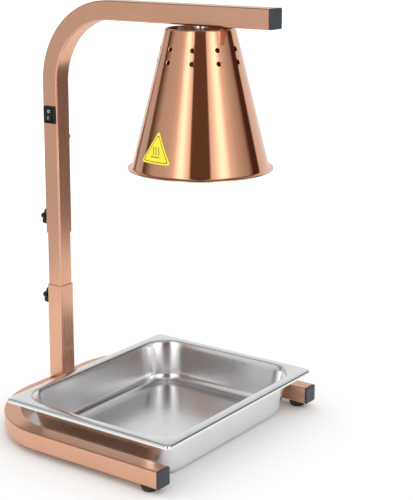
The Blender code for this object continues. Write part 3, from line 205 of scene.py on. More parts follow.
class Surface:
    """A procedural material under construction."""

    def __init__(self, name, **constants):
        self.material = MATERIALS[name] = bpy.data.materials.new(name)
        self.material.use_nodes = True
        self.tree = self.material.node_tree
        self.shader = self.tree.nodes["Principled BSDF"]
        for socket, value in constants.items():
            self.shader.inputs[socket.replace("_", " ")].default_value = value

    def noise(self, scale, detail=3.0, roughness=0.55, brushed=False):
        """Noise in metres times `scale` along each axis. Brushed noise runs across and along the grain."""
        if brushed:
            source = add_node(self.tree, "ShaderNodeUVMap", uv_map=GRAIN).outputs["UV"]
        else:
            source = add_node(self.tree, "ShaderNodeTexCoord").outputs["Object"]
        scaled = add_node(self.tree, "ShaderNodeMapping", {"Vector": source, "Scale": scale}).outputs[0]
        sockets = {"Vector": scaled, "Scale": 1.0, "Detail": detail, "Roughness": roughness}
        return add_node(self.tree, "ShaderNodeTexNoise", sockets).outputs["Fac"]

    def ranged(self, value, low, high):
        """The middle of the noise's range becomes low to high."""
        sockets = {"Value": value, "From Min": 0.3, "From Max": 0.7, "To Min": low, "To Max": high}
        return add_node(self.tree, "ShaderNodeMapRange", sockets).outputs["Result"]

    def arithmetic(self, operation, first, second):
        made = add_node(self.tree, "ShaderNodeMath", {0: first, 1: second}, operation=operation)
        return made.outputs["Value"]

    def colour(self, factor, first, second):
        """The surface's colour goes from the first to the second with the factor."""
        sockets = {"Factor": factor, 6: (*first, 1.0), 7: (*second, 1.0)}
        self.drive("Base Color", add_node(self.tree, "ShaderNodeMix", sockets, data_type="RGBA").outputs[2])

    def drive(self, socket, value):
        self.tree.links.new(value, self.shader.inputs[socket])


def drifting(name, light, dark, rough, patch, grain, height, strength=0.5, brushed=False, **constants):
    """A surface whose colour drifts in patches and whose fine grain moves its gloss and height.

    `patch` and `grain` are how many times the two patterns repeat in a metre, along each axis or along all,
    `rough` the lowest and highest roughness and `height` the grain's height in millimetres.
    """
    made = Surface(name, **constants)
    patch, grain = (scale if isinstance(scale, tuple) else (scale,) * 3 for scale in (patch, grain))
    patches = made.noise(patch, 2.0, brushed=brushed)
    fine = made.noise(grain, 3.0, 0.6, brushed)
    drift, speckle = made.arithmetic("MULTIPLY", patches, 0.7), made.arithmetic("MULTIPLY", fine, 0.3)
    made.colour(made.ranged(made.arithmetic("ADD", drift, speckle), 0.0, 1.0), dark, light)
    made.drive("Roughness", made.ranged(fine, *rough))
    sockets = {"Height": fine, "Distance": height * MM, "Strength": strength}
    made.drive("Normal", add_node(made.tree, "ShaderNodeBump", sockets).outputs["Normal"])


METAL, DULL = {"Metallic": 1.0}, {"Specular_IOR_Level": 0.3}

# For each finish: light and dark colour, roughness, patches, grain, the grain's height and the rest.
# The copper of the tubes is brushed lengthwise. The shade is spun and polished outside; inside it and on
# its sunk top disc a dark brown copper is painted shade. The bulb's front is pressed glass over its mirror.
FINISHES = {
    "brushed_copper": ((0.77, 0.435, 0.295), (0.72, 0.395, 0.255), (0.25, 0.29), (26, 16, 1), (2000, 10, 1),
                       0.006, dict(strength=0.05, brushed=True, Anisotropic=0.3, **METAL)),
    "polished_copper": ((0.75, 0.375, 0.22), (0.72, 0.35, 0.20), (0.055, 0.10), (9, 9, 14),
                        (3, 1500, 1), 0.003,
                        dict(strength=0.25, brushed=True, Coat_Weight=0.6, Coat_Roughness=0.03, **METAL)),
    # dark brown copper for the shade's inside and sunk top disc: painted shade
    "painted_shade_copper": ((0.36, 0.17, 0.10), (0.26, 0.12, 0.07), (0.34, 0.48), 14, (3, 900, 1),
                    0.006, dict(strength=0.3, brushed=True, **METAL)),
    "stainless": ((0.86, 0.865, 0.87), (0.80, 0.805, 0.81), (0.16, 0.27), 18, (900, 900, 60),
                  0.006, dict(strength=0.3, **METAL)),
    "bulb_front": ((0.93, 0.94, 0.95), (0.82, 0.83, 0.85), (0.04, 0.12), 40, 700,
                   0.01, dict(strength=0.4, Metallic=0.85, IOR=1.5, Coat_Weight=0.5)),
    "label_film": ((0.93, 0.80, 0.045), (0.88, 0.73, 0.035), (0.30, 0.42), 90, 2200,
                   0.004, dict(strength=0.3, Specular_IOR_Level=0.45)),
    "cap_plastic": ((0.028, 0.040, 0.050), (0.020, 0.030, 0.038), (0.36, 0.50), 40, 1500, 0.02, {}),
    "black_plastic": ((0.013, 0.013, 0.014), (0.007, 0.007, 0.008), (0.30, 0.45), 60, 1800, 0.012, DULL),
    "rocker_plastic": ((0.016, 0.016, 0.017), (0.010, 0.010, 0.011), (0.16, 0.26), 60, 2200, 0.004, DULL),
    "black_rubber": ((0.022, 0.022, 0.022), (0.012, 0.012, 0.012), (0.60, 0.80), 90, 1200, 0.03, {}),
    "zinc_steel": ((0.80, 0.80, 0.78), (0.66, 0.67, 0.68), (0.16, 0.32), 120, 1400, 0.008, METAL),
    "brass": ((0.86, 0.66, 0.32), (0.74, 0.54, 0.24), (0.18, 0.34), 90, 1600, 0.006, METAL),
    "aluminium": ((0.88, 0.88, 0.88), (0.78, 0.79, 0.80), (0.14, 0.28), 80, 1500, 0.006, METAL),
    "bulb_mirror": ((0.95, 0.95, 0.95), (0.90, 0.905, 0.91), (0.02, 0.06), 25, 500, 0.002, METAL),
    "tungsten": ((0.34, 0.33, 0.32), (0.24, 0.23, 0.22), (0.30, 0.50), 300, 4000, 0.01, METAL),
    "porcelain": ((0.86, 0.85, 0.81), (0.80, 0.79, 0.74), (0.08, 0.20), 60, 500, 0.015,
                  dict(Coat_Weight=0.5, Coat_Roughness=0.06)),
    "label_print": ((0.030, 0.030, 0.030), (0.018, 0.018, 0.018), (0.35, 0.50), 200, 3000, 0.003, {}),
    "white_print": ((0.86, 0.86, 0.85), (0.78, 0.78, 0.77), (0.35, 0.50), 200, 3000, 0.003, {}),
    "lead_black": ((0.030, 0.030, 0.030), (0.018, 0.018, 0.018), (0.45, 0.60), 80, 1500, 0.010, {}),
    "lead_white": ((0.80, 0.79, 0.75), (0.72, 0.71, 0.67), (0.45, 0.60), 80, 1500, 0.010, {}),
    "lead_green": ((0.09, 0.36, 0.11), (0.06, 0.28, 0.08), (0.45, 0.60), 80, 1500, 0.010, {}),
}
for title, (*numbers, extras) in FINISHES.items():
    drifting(title, *numbers, **extras)

glass = Surface("clear_glass", Transmission_Weight=1.0, IOR=1.47)
haze = glass.noise((60, 60, 60), 1.0)
glass.drive("Roughness", glass.ranged(haze, 0.0, 0.03))
glass.colour(haze, (0.97, 0.985, 0.985), (1.0, 1.0, 1.0))

# The record's slot for each finish that isn't named after it
SLOTS = {
    "rocker_plastic": "black_plastic", "white_print": "black_plastic", "label_film": "heat_label",
    "label_print": "heat_label", "clear_glass": "bulb_glass", "bulb_front": "bulb_glass",
    "bulb_mirror": "bulb_glass",
}


# ---- shapes

def mm(*points, above=0.0):
    """(radius, height) points given in millimetres, above a height in metres."""
    return [(r * MM, above + z * MM) for r, z in points]


def skin(rings, loop=False, grain=None, filled=True):
    """Join rings of points into one surface. A ring of one point is a pole.

    Open ends that aren't poles are filled, unless `filled` is false. With `loop`, the last ring joins the
    first. Two poles in a row end one wall and start the next. `grain` gives the (across, along) of a ring's
    point, for brushed finishes. Where the ring closes it is asked for one point more than the ring has.
    """
    shape = bmesh.new()
    layer = shape.loops.layers.uv.new(GRAIN) if grain else None
    made = [[shape.verts.new(point) for point in ring] for ring in rings]
    rows = list(range(len(made)))
    for first, second in zip(rows, rows[1:] + rows[:1] if loop else rows[1:]):
        count = max(len(made[first]), len(made[second]))
        if count == 1:
            continue
        for i in range(count):
            corners = {}
            for row, place in ((first, i), (first, i + 1), (second, i + 1), (second, i)):
                corners.setdefault(made[row][place % len(made[row])], (row, place))
            face = shape.faces.new(list(corners))
            if grain:
                for corner in face.loops:
                    corner[layer].uv = grain(*corners[corner.vert])
    if filled and not loop:
        for ring in (made[0], made[-1]):
            if len(ring) > 2:
                shape.faces.new(ring)
    return shape


def placed(shape, origin=(0, 0, 0), axis=(0, 0, 1)):
    """Move a shape made about +Z so that +Z points along `axis`."""
    turn = Vector((0, 0, 1)).rotation_difference(Vector(axis)).to_matrix().to_4x4()
    shape.transform(Matrix.Translation(origin) @ turn)
    return shape


def circle(radius, z, count=FINE, start=0.0):
    """Points round Z, or one if the radius is zero. `radius` may be a function of the angle."""
    if not callable(radius):
        if radius < 1e-7:
            return [(0, 0, z)]
        return circle(lambda angle: radius, z, count, start)
    angles = [start + TAU * i / count for i in range(count)]
    return [(radius(a) * math.cos(a), radius(a) * math.sin(a), z) for a in angles]


def softened(profile, reach, steps, loop):
    """Round each corner of a (radius, z) profile, so that its edges catch the light."""
    points = [Vector(p) for p in profile]
    rounded = []
    for i, here in enumerate(points):
        if not loop and i in (0, len(points) - 1):
            rounded.append(tuple(here))
            continue
        before, after = points[i - 1] - here, points[(i + 1) % len(points)] - here
        if before.length < 1e-9 or after.length < 1e-9 or before.angle(after) > math.radians(170):
            rounded.append(tuple(here))
            continue
        near = min(reach, before.length * 0.45, after.length * 0.45)
        first, last = here + before.normalized() * near, here + after.normalized() * near
        for j in range(steps + 1):
            t = j / steps
            rounded.append(tuple(first * (1 - t) ** 2 + here * 2 * t * (1 - t) + last * t**2))
    return rounded


def turned(profile, at=(0, 0, 0), axis=(0, 0, 1), loop=False, edge=0.0, steps=3, count=FINE):
    """Revolve (radius, z) points about Z, their corners rounded by `edge`, and place the shape."""
    if edge:
        profile = softened(profile, edge, steps, loop)
    return placed(skin([circle(r, z, count) for r, z in profile], loop), at, axis)


def bush(bore_r, outer_r, low, high):
    """The profile of a plain ring."""
    return [(bore_r, low), (outer_r, low), (outer_r, high), (bore_r, high)]


def rounded_rectangle(half_x, half_y, corner, z, steps=6, margin=0.5 * MM):
    """Points of a rectangle at height z. `margin` is how far each corner's last points are from it."""
    points = []
    for quarter, (sx, sy) in enumerate(((1, 1), (-1, 1), (-1, -1), (1, -1))):
        centre = Vector((sx * (half_x - corner), sy * (half_y - corner)))
        first, last = math.pi / 2 * quarter, math.pi / 2 * (quarter + 1)
        along = Vector((math.cos(last), math.sin(last)))
        across = Vector((math.cos(first), math.sin(first)))
        points.append(centre + across * corner - along * margin)
        for i in range(steps + 1):
            angle = first + math.pi / 2 * i / steps
            points.append(centre + Vector((math.cos(angle), math.sin(angle))) * corner)
        points.append(centre + along * corner - across * margin)
    return [(p.x, p.y, z) for p in points]


def stacked(levels, steps=6, margin=0.3 * MM):
    """Join rounded rectangles, each (half_x, half_y, corner, z)."""
    return skin([rounded_rectangle(*level, steps, margin) for level in levels])


def inset(half_x, half_y, *levels):
    """Levels for `stacked`, each given as (inset from the halves, corner, z)."""
    return [(half_x - distance, half_y - distance, corner, z) for distance, corner, z in levels]


def quarter_round(reach, rise, steps=5):
    """(inset, depth) of the points of a rounded edge, from its flat top to its side."""
    angles = [math.pi / 2 * i / steps for i in range(steps + 1)]
    return [(reach * (1 - math.sin(a)), rise * (1 - math.cos(a))) for a in angles]


def offset(profile, distance):
    """The (radius, z) polyline moved sideways, to the right of its direction."""
    moved = []
    for i, point in enumerate(profile):
        before = Vector(profile[max(i - 1, 0)])
        after = Vector(profile[min(i + 1, len(profile) - 1)])
        here = Vector(point)
        first = (here - before).normalized() if i > 0 else (after - here).normalized()
        second = (after - here).normalized() if i < len(profile) - 1 else first
        halfway = (first + second).normalized()
        side = Vector((halfway.y, -halfway.x))
        stretch = distance / max(side.dot(Vector((first.y, -first.x))), 0.5)
        moved.append(tuple(here + side * stretch))
    return moved


def arc(centre, radius, start, end, steps):
    """(radius, z) points on an arc, angles in degrees from the outward direction."""
    angles = (math.radians(start + (end - start) * i / steps) for i in range(steps + 1))
    return [(centre[0] + radius * math.cos(a), centre[1] + radius * math.sin(a)) for a in angles]


def smooth(points, steps):
    """A Catmull-Rom curve through the points, ends included."""
    points = [Vector(p) for p in points]
    padded = [points[0] * 2 - points[1], *points, points[-1] * 2 - points[-2]]
    curve = []
    for p0, p1, p2, p3 in zip(padded, padded[1:], padded[2:], padded[3:]):
        for i in range(steps):
            t = i / steps
            square = (2 * p0 - 5 * p1 + 4 * p2 - p3) * t**2
            cube = (3 * p1 - p0 - 3 * p2 + p3) * t**3
            curve.append(0.5 * (2 * p1 + (p2 - p0) * t + square + cube))
    curve.append(points[-1])
    return curve


def divided(points, step, whole=round):
    """The line with a point about every `step` along it, its last point left out.

    `whole` turns the length of a stretch, in steps, into a whole number of them.
    """
    line = []
    for first, second in zip(points, points[1:]):
        gap = Vector(second) - Vector(first)
        count = max(1, whole(gap.length / step))
        line += [tuple(Vector(first) + gap * i / count) for i in range(count)]
    return line


def headings(points):
    """The direction of a line at each of its points."""
    pairs = zip(points[:1] + points, points[1:] + points[-1:])
    return [(after - before).normalized() for before, after in pairs]


def hexagon_nut(flat, height, bore_r, at):
    """A nut that stands on `at`, its corners turned off in a chamfer."""
    def hexagon(limit):
        def radius(angle):
            from_flat = (angle + math.pi / 6) % (math.pi / 3) - math.pi / 6
            return min(flat / 2 / math.cos(from_flat), limit)
        return radius

    corner = flat / 2 / math.cos(math.pi / 6)
    chamfer, turned_r = 0.05 * flat, flat / 2 * 0.97
    face, side = hexagon(turned_r), hexagon(corner)
    low = [circle(bore_r, 0), circle(face, 0), circle(side, chamfer)]
    high = [circle(side, height - chamfer), circle(face, height), circle(bore_r, height)]
    return placed(skin(low + high, loop=True), at)


def merged(shapes):
    """Several shapes in one bmesh."""
    whole = shapes[0]
    for extra in shapes[1:]:
        mesh = bpy.data.meshes.new("scratch")
        extra.to_mesh(mesh)
        extra.free()
        whole.from_mesh(mesh)
        bpy.data.meshes.remove(mesh)
    return whole


def rod(start, end, radius):
    start, end = Vector(start), Vector(end)
    return turned([(radius, 0), (radius, (end - start).length)], start, end - start, count=32)


def upright_rod(x, y, low, high, radius):
    return rod((x, y, low), (x, y, high), radius)


def block(low, high):
    shape = bmesh.new()
    bmesh.ops.create_cube(shape, size=1.0)
    size = [b - a for a, b in zip(low, high)]
    centre = [(a + b) / 2 for a, b in zip(low, high)]
    shape.transform(Matrix.Translation(centre) @ Matrix.Diagonal((*size, 1.0)))
    return shape


def threaded(radius, root, low, high, pitch, steps=6):
    """Rings of a screw thread, whose crest goes round once in each pitch and fades at both ends."""
    def ring(i):
        z = min(low + i * pitch / steps, high)
        fade = min(1.0, (z - low) / pitch, (high - z) / pitch)

        def reach(angle):
            crest = 0.5 + 0.5 * math.cos(TAU * i / steps - angle)
            return radius - (radius - root) * (1 - fade * crest)

        return circle(reach, z)

    return [ring(i) for i in range(int((high - low) / pitch * steps) + 1)]


def strand(points, radius, count=12):
    """A round wire along a line of points."""
    rings = []
    normal = None
    for point, along in zip(points, headings(points)):
        if normal is None:
            normal = along.orthogonal().normalized()
        normal = (normal - along * normal.dot(along)).normalized()
        side = along.cross(normal)
        angles = (TAU * j / count for j in range(count))
        rings.append([point + (normal * math.cos(a) + side * math.sin(a)) * radius for a in angles])
    return skin(rings)


# ---- pieces

def built(name, shape):
    """An object made of a shape from the post frame, moved to the model's frame."""
    bmesh.ops.recalc_face_normals(shape, faces=shape.faces)
    bmesh.ops.translate(shape, verts=shape.verts, vec=(POST_X, 0, 0))
    mesh = bpy.data.meshes.new(name)
    shape.to_mesh(mesh)
    shape.free()
    obj = bpy.data.objects.new(name, mesh)
    bpy.context.scene.collection.objects.link(obj)
    return obj


def shaded(mesh, sharp):
    """Smooth shading, but for the edges that turn by more than `sharp` degrees."""
    mesh.shade_smooth()
    mesh.set_sharp_from_angle(angle=math.radians(sharp))


def piece(name, shape, finish, on, *nodes, sharp=35):
    """A mesh that rides on body `on` and stands for CAD `nodes`."""
    obj = built(name, shape)
    shaded(obj.data, sharp)
    obj.data.materials.append(MATERIALS[finish])
    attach(obj, on)
    SLOTS.get(finish, finish)
    if nodes:
        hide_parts(*nodes)
    return obj


def cut(obj, shapes, operation="DIFFERENCE"):
    """Drill shapes out of a piece, or join them on, for good."""
    cutter = built("cutter", merged(shapes))
    modifier = obj.modifiers.new("cut", "BOOLEAN")
    modifier.operation, modifier.solver, modifier.object = operation, "EXACT", cutter
    whole = bpy.data.meshes.new_from_object(obj.evaluated_get(bpy.context.evaluated_depsgraph_get()))
    obj.modifiers.clear()
    bpy.data.objects.remove(cutter)
    if not whole.polygons:
        raise RuntimeError(f"the cut left nothing of {obj.name}")
    obj.data = whole
    shaded(whole, 30)


def square_tube(path, side, wall, corner, ripple=None):
    """A hollow square tube along a path of (point, section x direction, section y direction).

    `ripple` gives how far the section's -X or +X face stands out at each place of the path.
    """
    lengths = [0.0]
    for before, after in zip(path, path[1:]):
        lengths.append(lengths[-1] + (Vector(after[0]) - Vector(before[0])).length)
    start, end = path[0], path[-1]
    inward = (Vector(path[1][0]) - Vector(start[0])).normalized() * TUBE_EDGE
    outward = (Vector(end[0]) - Vector(path[-2][0])).normalized() * TUBE_EDGE
    # each is (place of the path, length up to it, how much narrower the section is there)
    places = [
        (start, 0.0, TUBE_EDGE),
        ((Vector(start[0]) + inward, *start[1:]), TUBE_EDGE, 0),
        *((place, length, 0) for place, length in zip(path[1:-1], lengths[1:-1])),
        ((Vector(end[0]) - outward, *end[1:]), lengths[-1] - TUBE_EDGE, 0),
        (end, lengths[-1], TUBE_EDGE),
    ]

    def ring(place, length, narrower, half, radius, waved):
        point, across, up = place
        points = []
        for x, y, _ in rounded_rectangle(half - narrower, half - narrower, radius, 0):
            if waved and abs(y) < half - radius:
                x += ripple(length, x / half) * (1 - (y / (half - radius)) ** 2)
            points.append(Vector(point) + Vector(across) * x + Vector(up) * y)
        return points

    half = side / 2
    rings = [ring(*place, half, corner, bool(ripple)) for place in places]
    rings += [ring(*place, half - wall, corner - wall, False) for place in places[::-1]]
    along = [length for _, length, _ in places + places[::-1]]
    section = [Vector(point) for point in rounded_rectangle(half, half, corner, 0)]
    around = [0.0]
    for here, after in zip(section, section[1:] + section[:1]):
        around.append(around[-1] + (after - here).length)
    return skin(rings, loop=True, grain=lambda i, j: (around[j], along[i]))


def end_cap(side, wall):
    """A plug for the end of a square tube: z = 0 is the tube's end, +Z points out of it."""
    top, plug, hollow = CAP_THICKNESS + GAP, wall + GAP, wall + GAP + 1.8 * MM
    levels = [(1.9 * MM, 0.8 * MM, top)]
    levels += [(d, 2.0 * MM - 0.6 * d, top - fall) for d, fall in quarter_round(1.1 * MM, 1.1 * MM)]
    levels += [
        (0, 2.0 * MM, GAP + 0.2 * MM), (0.2 * MM, 1.8 * MM, GAP), (plug, 0.9 * MM, GAP),
        (plug, 0.9 * MM, 1.5 * MM - CAP_PLUG), (plug + 0.6 * MM, 0.7 * MM, -CAP_PLUG),
        (hollow, 0.5 * MM, -CAP_PLUG), (hollow, 0.5 * MM, 0),
    ]
    return stacked(inset(side / 2, side / 2, *levels))


def cross_recess(depth, reach):
    """A plus-shaped column about Z up to `depth`, the hole that a screw's drive needs."""
    outline = []
    for x, y in ((1, 0), (0, 1), (-1, 0), (0, -1)):
        for out, side in ((reach, -CROSS_HALF), (reach, CROSS_HALF), (CROSS_HALF, CROSS_HALF)):
            outline.append((out * x - side * y, out * y + side * x))
    return skin([[(x, y, z) for x, y in outline] for z in (-MM, depth)])


# ---- base

def make_base():
    up, steps = (0, 0, 1), 48

    def leg(side):
        """A leg's straight part, from its end to its bend."""
        return [((x, side * LEG_Y, BASE_Z), (0, -side, 0), up) for x in (LEG_REACH, BASE_BEND + STRAIGHT)]

    path = leg(-1)
    for side in (-1, 1):
        for i in range(steps + 1):
            turn = i / steps if side < 0 else 1 - i / steps
            angle = math.pi / 2 * turn
            out = Vector((-math.sin(angle), side * math.cos(angle), 0))
            point = Vector((BASE_BEND, side * (LEG_Y - BASE_BEND), BASE_Z)) + out * BASE_BEND
            path.append((point, -out, up))
    path += leg(1)[::-1]
    tube = square_tube(path, SLIM_TUBE, SLIM_WALL, SLIM_CORNER)
    tube = piece("base_tube", tube, "brushed_copper", "base", "base_frame")

    feet = [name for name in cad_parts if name.startswith("foot_") and "screw" not in name]
    drills = []
    for name in feet:
        x, y = middle(name).x - POST_X, middle(name).y
        drills.append(upright_rod(x, y, BASE_LOW - DRILL, BASE_LOW + 4 * MM, FOOT_HOLE_R))
        make_foot(name, x, y)
    for name in ("post_screw_left", "post_screw_right"):
        y = middle(name).y
        drills.append(upright_rod(0, y, BASE_LOW - DRILL, BASE_HIGH + DRILL, M6_HOLE_R))
        make_post_screw(name, y)
    cut(tube, drills)
    for name, side in (("leg_cap_left", -1), ("leg_cap_right", 1)):
        cap = placed(end_cap(SLIM_TUBE, SLIM_WALL), (LEG_REACH, side * LEG_Y, BASE_Z), (1, 0, 0))
        piece(name + "_moulded", cap, "cap_plastic", "base", name)


def make_foot(name, x, y):
    """A tapered rubber foot with its screw up in a counterbore."""
    top, bore_r = BASE_LOW - GAP, 4.7 * MM
    foot = [*mm((8.6, 0), (9.2, 0.5), (11.2, 5.6)), (11.2 * MM, top), (FOOT_HOLE_R, top)]
    foot += [(FOOT_HOLE_R, FOOT_SEAT), (bore_r, FOOT_SEAT), (bore_r, 0)]
    shape = turned(foot, (x, y, 0), loop=True, edge=0.5 * MM)
    piece(name + "_moulded", shape, "black_rubber", "base", name)

    screw_name = name.replace("foot_", "foot_screw_")
    top = FOOT_SEAT - GAP
    low = top - 2.2 * MM
    profile = mm((0, 0.2), (1.6, 0), (2.9, 0.4), (3.7, 1.2), above=low) + [(3.8 * MM, top), (1.9 * MM, top)]
    profile += mm((1.9, 12.5), (0.5, 16.0), (0, 16.0))
    screw = piece(screw_name + "_driven", turned(profile, (x, y, 0)), "zinc_steel", "base", screw_name)
    cut(screw, [placed(cross_recess(1.3 * MM, 2.1 * MM), (x, y, low))])


def make_post_screw(name, y):
    """A socket head screw, up through the crossbar into the post's plug."""
    top = BASE_LOW - GAP
    low, end = top - 3.2 * MM, highest(name)
    profile = mm((0, 1.8), (2.3, 1.8), (2.3, 0), (4.0, 0), (5.1, 1.2), above=low)
    profile += [(5.1 * MM, top), (M6_R, top), (M6_R, end - MM), (M6_R - 0.8 * MM, end), (0, end)]
    piece(name + "_turned", turned(profile, (0, y, 0), edge=0.25 * MM), "zinc_steel", "base", name)


# ---- post and arm

def upright(node):
    """The path of a straight tube of the post, from the low end of its CAD node to the high one."""
    low, high = lowest(node), highest(node)
    return [((0, 0, low + (high - low) * t), (1, 0, 0), (0, 1, 0)) for t in (0, 0.5, 1)]


def clamp_drill(z):
    return rod((-WALL_Y - DRILL, 0, z), (-WALL_Y + DRILL, 0, z), M6_HOLE_R)


def make_post():
    lower_z, upper_z = middle("lower_clamp_screw").z, middle("upper_clamp_screw").z
    lower = square_tube(upright("lower_post"), TUBE, TUBE_WALL, TUBE_CORNER)
    cut(piece("lower_tube", lower, "brushed_copper", "base", "lower_post"), [clamp_drill(lower_z)])
    inner = square_tube(upright("inner_post"), SLIM_TUBE, SLIM_WALL, SLIM_CORNER)
    piece("inner_tube", inner, "brushed_copper", "inner", "inner_post")

    bottom, side, steps = lowest("upper_post_arm"), (0, 1, 0), 110
    path = [((0, 0, z), (1, 0, 0), side) for z in (bottom, ARM_Z - ARM_BEND - STRAIGHT)]
    for i in range(steps + 1):
        angle = math.pi / 2 * i / steps
        point = (ARM_BEND * (1 - math.cos(angle)), 0, ARM_Z - ARM_BEND * (1 - math.sin(angle)))
        path.append((point, (math.cos(angle), 0, -math.sin(angle)), side))
    path += [((x, 0, ARM_Z), (0, 0, -1), side) for x in (ARM_BEND + STRAIGHT, ARM_REACH)]
    bend_start = ARM_Z - ARM_BEND - bottom
    bend_length = ARM_BEND * math.pi / 2

    def ripple(length, face):
        """Faint bending marks on the inside of the bend, strongest in its middle."""
        t = (length - bend_start) / bend_length
        if face < 0.9 or not 0 < t < 1:
            return 0.0
        mark = 0.5 + 0.5 * math.sin(TAU * length / RIPPLE_PITCH)
        return -RIPPLE_DEPTH * math.sin(math.pi * t) * mark

    upper = square_tube(path, TUBE, TUBE_WALL, TUBE_CORNER, ripple)
    upper = piece("upper_tube", upper, "brushed_copper", "upper", "upper_post_arm")
    cut_x, cut_z = SWITCH_BODY_X / 2 + GAP, SWITCH_BODY_Z / 2 + GAP
    underside = ARM_Z - WALL_Y
    cut(upper, [
        clamp_drill(upper_z),
        block((-cut_x, -WALL_Y - DRILL, SWITCH_Z - cut_z), (cut_x, -WALL_Y + DRILL, SWITCH_Z + cut_z)),
        rod((0, WALL_Y - DRILL, GLAND_Z), (0, WALL_Y + DRILL, GLAND_Z), GLAND_R + GAP),
        rod((0, WALL_Y - DRILL, EARTH_Z), (0, WALL_Y + DRILL, EARTH_Z), EARTH_SCREW_R + GAP),
        upright_rod(SHADE_X, 0, underside - DRILL, underside + DRILL, STEM_HOLE_R),
    ])
    cap = placed(end_cap(TUBE, TUBE_WALL), (ARM_REACH, 0, ARM_Z), (1, 0, 0))
    piece("arm_cap_moulded", cap, "cap_plastic", "upper", "arm_end_cap")
    make_clamp("lower", lower_z, "base", "lower_screw", "lower_knob")
    make_clamp("upper", upper_z, "upper", "upper_screw", "upper_knob")


def knob_ring(inward, z):
    """A knob's lobed outline, `inward` from its full size."""
    def radius(angle):
        lobe = 0.5 + 0.5 * math.cos(KNOB_LOBES * angle)
        return KNOB_R - KNOB_LOBE_DEPTH * (1 - lobe**0.6) - inward

    return circle(radius, z, FINEST)


def make_clamp(level, z, on_tube, on_screw, on_knob):
    """Weld boss, clamp screw and knob on the back (-X) of a post tube."""
    back = (-1, 0, 0)
    boss = bush(M6_HOLE_R, BOSS_R, 0, BOSS_LENGTH)
    boss = turned(boss, (-WALL_Y - GAP, 0, z), back, loop=True, edge=0.6 * MM)
    piece(f"{level}_boss", boss, "brushed_copper", on_tube, f"{level}_weld_nut")

    neck_start = WALL_Y + GAP + BOSS_LENGTH + GAP
    front = KNOB_NECK + KNOB_BODY
    bore_r, bore_end, dish = M6_R + GAP, front - 1.6 * MM, front - 0.5 * MM
    rings = [[(0, 0, dish)], circle(4.6 * MM, dish, FINEST), circle(4.9 * MM, front - 0.1 * MM, FINEST)]
    rings.append(knob_ring(2.0 * MM, front))
    rings += [knob_ring(inward, front - fall) for inward, fall in quarter_round(1.3 * MM, 1.5 * MM)]
    back_edge = mm((0, 1.3), (0.3, 0.5), (1.0, 0), above=KNOB_NECK)
    rings += [knob_ring(inward, height) for inward, height in back_edge]
    stub = [(KNOB_NECK_R, KNOB_NECK), (KNOB_NECK_R, 0), (bore_r, 0), (bore_r, bore_end)]
    rings += [circle(*point, FINEST) for point in stub]
    knob = placed(skin(rings), (-neck_start, 0, z), back)
    piece(f"{level}_knob_moulded", knob, "black_plastic", on_knob, f"{level}_knob")

    tip, end_r = SLIM_TUBE / 2 + GAP, M6_R - 0.7 * MM
    length = neck_start + bore_end - GAP - tip
    rings = [[(0, 0, 0)], circle(end_r, 0)]
    rings += threaded(M6_R, M6_R - 0.45 * MM, 0.5 * MM, length - 0.5 * MM, 1.0 * MM)
    rings += [circle(end_r, length), [(0, 0, length)]]
    screw = placed(skin(rings), (-tip, 0, z), back)
    piece(f"{level}_screw_threaded", screw, "zinc_steel", on_screw, f"{level}_clamp_screw", sharp=60)


# ---- switch, gland and earth screw

def make_switch():
    """Bezel and body in one, open in front for the rocker, with slots for the blades in its back."""
    seat, floor_y, slot_x = -WALL_Y - GAP, SWITCH_BACK_Y - 2.4 * MM, SWITCH_SLOT_X / 2
    front = seat - BEZEL_T
    bezel = [(d, 1.9 * MM - 0.6 * d, front + fall) for d, fall in quarter_round(1.1 * MM, 1.2 * MM)]
    levels = inset(
        slot_x, SWITCH_SLOT_Z / 2,
        (0, 0.5 * MM, floor_y), (0, 0.5 * MM, front + 0.5 * MM), (-0.35 * MM, 0.8 * MM, front),
    )
    levels += inset(BEZEL_X / 2, BEZEL_Z / 2, *bezel, (0, 1.9 * MM, seat))
    levels += inset(SWITCH_BODY_X / 2, SWITCH_BODY_Z / 2, (0, 0.6 * MM, seat), (0, 0.6 * MM, SWITCH_BACK_Y))
    shape = stacked(levels)
    # the stack is laid down, its height towards +Y
    shape.transform(Matrix.Translation((0, 0, SWITCH_Z)) @ Matrix.Rotation(-math.pi / 2, 4, "X"))
    housing = piece("switch_housing_moulded", shape, "black_plastic", "upper", "switch_housing")

    drills = [pin_rod(slot_x + 1.8 * MM, ROCKER_PIN_R + 0.4 * MM)]
    hole_x, hole_z = BLADE_X / 2 + 0.5 * MM, BLADE_T / 2 + 0.5 * MM
    for side in (-1, 1):
        z = SWITCH_Z + side * BLADE_Z
        low, high = (-hole_x, floor_y - DRILL, z - hole_z), (hole_x, SWITCH_BACK_Y + DRILL, z + hole_z)
        drills.append(block(low, high))
    cut(housing, drills)


def pin_rod(half_length, radius):
    """A rod on the rocker's axis."""
    return rod((-half_length, ROCKER_PIVOT_Y, SWITCH_Z), (half_length, ROCKER_PIVOT_Y, SWITCH_Z), radius)


